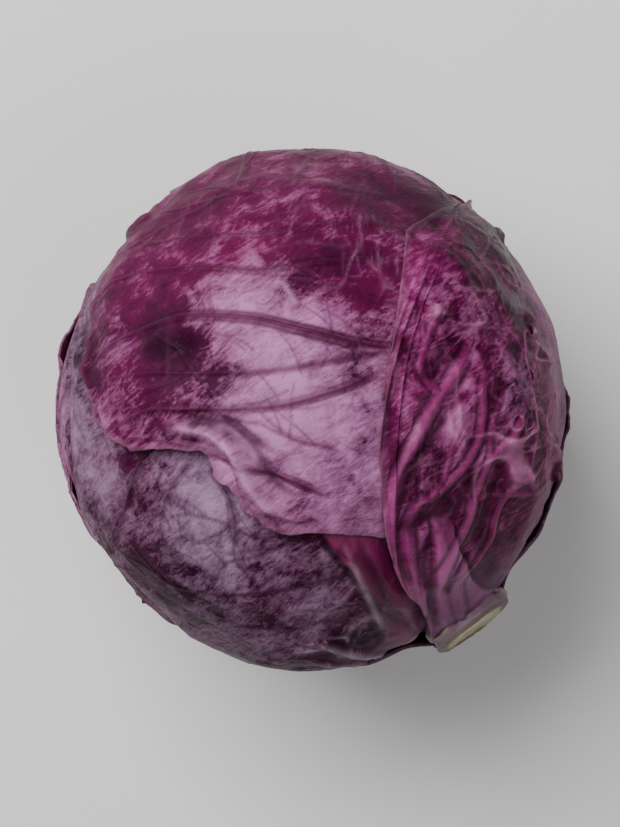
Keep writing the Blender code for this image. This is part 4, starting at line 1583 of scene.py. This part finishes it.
@dataclass
class Heart:
    """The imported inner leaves, which show only in the chinks between the wrapper leaves."""

    layering: Layering
    rows: int = 110
    columns: int = 180
    stalk_hole: float = radians(9.9)
    crown_hole: float = 0.004
    leaves: int = 5
    wind: float = 0.35
    fold: float = 0.0012
    fold_span: Pair = (0.02, 0.9)
    fold_margin: float = 0.06
    unevenness: float = 0.0004
    uneven_size: float = 0.02
    bloom: float = 0.35
    seed: int = 3

    def build(self) -> bpy.types.Object:
        """Makes the heart's mesh, with its leaves as folds that wind round it."""
        form = self.layering.form
        tilt, turn = np.meshgrid(
            np.linspace(self.stalk_hole, pi - self.crown_hole, self.rows),
            np.linspace(0.0, 2 * pi, self.columns, endpoint=False),
            indexing="ij",
        )
        local = np.stack([np.sin(tilt) * np.cos(turn), np.sin(tilt) * np.sin(turn), np.cos(tilt)], -1)
        directions = local @ np.stack([form.topward, form.sideward, form.axis])
        radius = self.layering.heart(directions)
        spiral = (self.leaves * (turn / (2 * pi) + self.wind * tilt / pi)) % 1.0
        folds = self.fold * (1.0 - smooth_step(*self.fold_span, spiral)) * np.sin(tilt)
        places = form.middle + directions * radius[..., None]
        uneven = self.unevenness * Grain(self.seed).layered(places, self.uneven_size, 3)
        points = form.middle + directions * (radius - folds + uneven)[..., None]
        piece = grid_object("heart_skin", points, wraps=True)
        nothing = np.zeros_like(tilt)
        margin = 1.0 - smooth_step(0.0, self.fold_margin, spiral)
        paint(piece, "marks", nothing, nothing, margin, nothing)
        paint(piece, "places", nothing + self.bloom, nothing, nothing, nothing)
        chart(piece, np.stack([turn * np.sin(tilt), tilt], -1))
        return piece


@dataclass
class Stalk:
    """The cut stalk with the stubs and scars of trimmed leaves. Metres, and degrees for turns."""

    form: HeadForm
    half_angle: float = 9.7
    core_start: float = 0.030
    end: float = 0.0905
    bevel: float = 0.0016
    around: int = 220
    side_rows: int = 110
    face_rows: int = 42
    stubs: tuple[Triple, ...] = (
        (38, 0.0868, 30),
        (176, 0.0858, 34),
        (262, 0.0872, 26),
        (318, 0.0850, 30),
        (104, 0.0848, 28),
    )
    stub_height: float = 0.0016
    stub_bow: float = 0.0035
    stub_breadth: float = 0.0011
    stub_ends: Pair = (0.7, 1.05)
    inset: float = 0.0009
    unevenness: Pair = (0.0005, 0.009)
    face_unevenness: Pair = (0.00045, 0.007)
    bevel_rows: int = 7
    face_sag: float = 0.0011
    face_middle: float = 0.004
    ring_at: Pair = (0.72, 0.05)
    ring_height: float = 0.0003
    seed: int = 31

    def build(self) -> bpy.types.Object:
        """Makes the stalk's mesh, from the core's tip to the middle of the cut face."""
        turn = np.linspace(0.0, 2 * pi, self.around, endpoint=False)[None, :]
        grain = Grain(self.seed)
        heights = np.linspace(self.core_start, self.end - self.bevel, self.side_rows)[:, None]
        radius = tan(radians(self.half_angle)) * heights * np.ones_like(turn)
        scar = np.zeros_like(radius)
        for at, height, spread in self.stubs:
            away = np.abs((np.degrees(turn) - at + 180.0) % 360.0 - 180.0) / spread
            line = height - self.stub_bow * np.clip(away, 0.0, 1.0) ** 2
            near = bell(heights - line, self.stub_breadth)
            scar = np.maximum(scar, near * (1.0 - smooth_step(*self.stub_ends, away)))
        place = np.stack([radius * np.cos(turn), radius * np.sin(turn), heights * np.ones_like(turn)], -1)
        height, size = self.unevenness
        radius = radius - self.inset + self.stub_height * scar + height * grain.layered(place, size, 3)
        bevel_turns = np.linspace(0.0, pi / 2, self.bevel_rows)[1:, None]
        edge = radius[-1:]
        rim_radius = edge - self.bevel * (1.0 - np.cos(bevel_turns))
        rim_height = self.end - self.bevel + self.bevel * np.sin(bevel_turns) * np.ones_like(turn)
        inward = np.linspace(1.0, self.face_middle, self.face_rows)[1:, None]
        face_radius = rim_radius[-1:] * inward
        face_place = np.stack([face_radius * np.cos(turn), face_radius * np.sin(turn), 0 * face_radius], -1)
        height, size = self.face_unevenness
        sag = -self.face_sag * (1.0 - inward**2) + height * grain.layered(face_place, size, 3)
        station, spread = self.ring_at
        ring = bell(inward - station, spread) * np.ones_like(turn)
        face_height = self.end + sag + self.ring_height * ring
        radii = np.concatenate([radius, rim_radius, face_radius])
        levels = np.concatenate([heights * np.ones_like(turn), rim_height, face_height])
        local = np.stack([radii * np.cos(turn), radii * np.sin(turn), levels], -1)
        piece = grid_object("stalk_skin", self.form.onto_axis(local), wraps=True)
        self._mark(piece, scar, len(rim_radius), inward * np.ones_like(turn))
        return piece

    def _mark(self, piece: bpy.types.Object, scar: Array, rim_rows: int, inward: Array) -> None:
        """Paints where the stalk is cut, where it has browned, and its scars."""
        rim = np.ones((rim_rows, self.around))
        side = np.zeros_like(scar)
        cut = np.concatenate([side, rim * 0.6, np.ones_like(inward)])
        browned = np.concatenate([side, rim, smooth_step(0.80, 0.97, inward)])
        scars = np.concatenate([scar, rim * 0, inward * 0])
        pith = np.concatenate([side, rim * 0, 1.0 - smooth_step(0.45, 0.7, inward)])
        paint(piece, "marks", cut, browned, scars, pith)


@dataclass(frozen=True)
class Panel:
    """A square soft light: where it hangs, how wide it is in metres, and its watts."""

    name: str
    place: Triple
    size: float
    watts: float


@dataclass
class Studio:
    """A pale floor, soft light and a camera over the head. Metres, degrees and watts."""

    sight: Sight
    target: Triple = (-0.001, 0.0, 0.086)
    view_width: float = 0.206
    sensor_width: float = 36.0
    floor_size: float = 6.0
    floor_colour: Colour = (0.80, 0.79, 0.77)
    floor_shade: float = 0.94
    floor_cloud: Cloud = Cloud(9.0, 5.0)
    floor_roughness: float = 0.75
    floor_grain: float = 0.0001
    sky: Colour = (0.95, 0.97, 1.0)
    daylight: float = 0.15
    key: Panel = Panel("key", (-0.46, 0.56, 1.12), 0.95, 27.0)
    fill: Panel = Panel("fill", (0.60, -0.45, 1.05), 0.80, 4.5)

    def light(self) -> None:
        """Adds the lights and the surroundings' even daylight."""
        world = bpy.data.worlds.new("daylight")
        world.use_nodes = True
        backdrop = world.node_tree.nodes["Background"]
        backdrop.inputs["Color"].default_value = (*self.sky, 1.0)
        backdrop.inputs["Strength"].default_value = self.daylight
        bpy.context.scene.world = world
        for panel in (self.key, self.fill):
            data = bpy.data.lights.new(panel.name, "AREA")
            data.size = panel.size
            data.energy = panel.watts
            lamp = bpy.data.objects.new(panel.name, data)
            lamp.location = panel.place
            away = Vector(panel.place) - Vector(self.target)
            lamp.rotation_euler = away.to_track_quat("Z", "Y").to_euler()
            bpy.context.scene.collection.objects.link(lamp)

    def lay_floor(self) -> None:
        """Lays the floor that the head rests on."""
        half = self.floor_size / 2
        mesh = bpy.data.meshes.new("floor")
        corners = [(-half, -half, 0.0), (half, -half, 0.0), (half, half, 0.0), (-half, half, 0.0)]
        mesh.from_pydata(corners, [], [(0, 1, 2, 3)])
        recipe = Recipe("floor_paint")
        place = recipe.node("ShaderNodeTexCoord", {}, {}, "Object")
        grain = recipe.noise(place, self.floor_cloud)
        darker = tuple(self.floor_shade * channel for channel in self.floor_colour)
        colour = recipe.mixed(self.floor_colour, darker, grain)
        roughness = self.floor_roughness + 0.1 * grain
        mesh.materials.append(recipe.finish(colour, roughness, grain, self.floor_grain))
        floor = bpy.data.objects.new("floor", mesh)
        bpy.context.scene.collection.objects.link(floor)

    def place_camera(self) -> None:
        """Sets the camera nearly straight above, a little towards +X, as the photograph was taken."""
        data = bpy.data.cameras.new("camera")
        data.sensor_fit = "HORIZONTAL"
        data.sensor_width = self.sensor_width
        data.lens = self.sensor_width * self.sight.distance / self.view_width
        camera = bpy.data.objects.new("camera", data)
        tilt = radians(self.sight.lean)
        camera.rotation_euler = (0.0, tilt, 0.0)
        target = Vector(self.target)
        camera.location = target + self.sight.distance * Vector((sin(tilt), 0.0, cos(tilt)))
        bpy.context.scene.collection.objects.link(camera)
        bpy.context.scene.camera = camera


class Tint(Enum):
    """The finishes that the leaves share out among them."""

    PALE = LeafFinish("leaf_pale_bloom")
    DARK = LeafFinish(
        "leaf_dark_gloss",
        flesh=(0.026, 0.0008, 0.013),
        flush=(0.270, 0.010, 0.125),
        # The broad ribs' own paler pink, lightened further as a painted highlight on their tops
        rib=(0.460, 0.110, 0.310),
        vein=(0.200, 0.012, 0.100),
        crest_sheen=(0.560, 0.190, 0.390),
        foot=(0.100, 0.042, 0.085),
        rib_strength=0.75,
        rubbed_roughness=0.30,
        gloss=0.55,
        shine=0.05,
    )
    GREY = LeafFinish(
        "leaf_grey_bloom",
        flesh=(0.022, 0.0020, 0.016),
        flush=(0.080, 0.004, 0.038),
        rib=(0.150, 0.008, 0.065),
        vein=(0.022, 0.0012, 0.014),
        bloom=(0.330, 0.200, 0.320),
        foot=(0.120, 0.025, 0.070),
        crest_sheen=(0.420, 0.300, 0.380),
    )


TINTS: dict[str, Tint] = {
    "wrapper_leaf_5": Tint.GREY,
    "wrapper_leaf_7": Tint.DARK,
    "wrapper_leaf_8": Tint.GREY,
}


def put_on(piece: bpy.types.Object, material: bpy.types.Material, node: str) -> None:
    """Dresses a piece, and has it stand for its node."""
    piece.data.materials.append(material)
    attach(piece, "root")
    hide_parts(node)
    LOG.info("%s: %d faces", piece.name, len(piece.data.polygons))


def main() -> None:
    """Builds the head and its studio."""
    logging.basicConfig(level=logging.INFO, format="%(message)s")
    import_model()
    form = HeadForm()
    layering = Layering(form, [FlatLeaf(plan, form) for plan in LEAF_PLANS])
    sight = Sight(form)
    finishes = {tint: tint.value.make() for tint in Tint}
    put_on(Heart(layering).build(), finishes[Tint.PALE], "heart")
    put_on(Stalk(form).build(), StalkFinish().make(), "stalk")
    for index, plan in enumerate(LEAF_PLANS):
        tint = TINTS.get(plan.node, Tint.PALE)
        put_on(WrapperLeaf(layering, sight, index).build(), finishes[tint], plan.node)
    studio = Studio(sight)
    studio.lay_floor()
    studio.light()
    studio.place_camera()


if __name__ == "__main__":
    main()
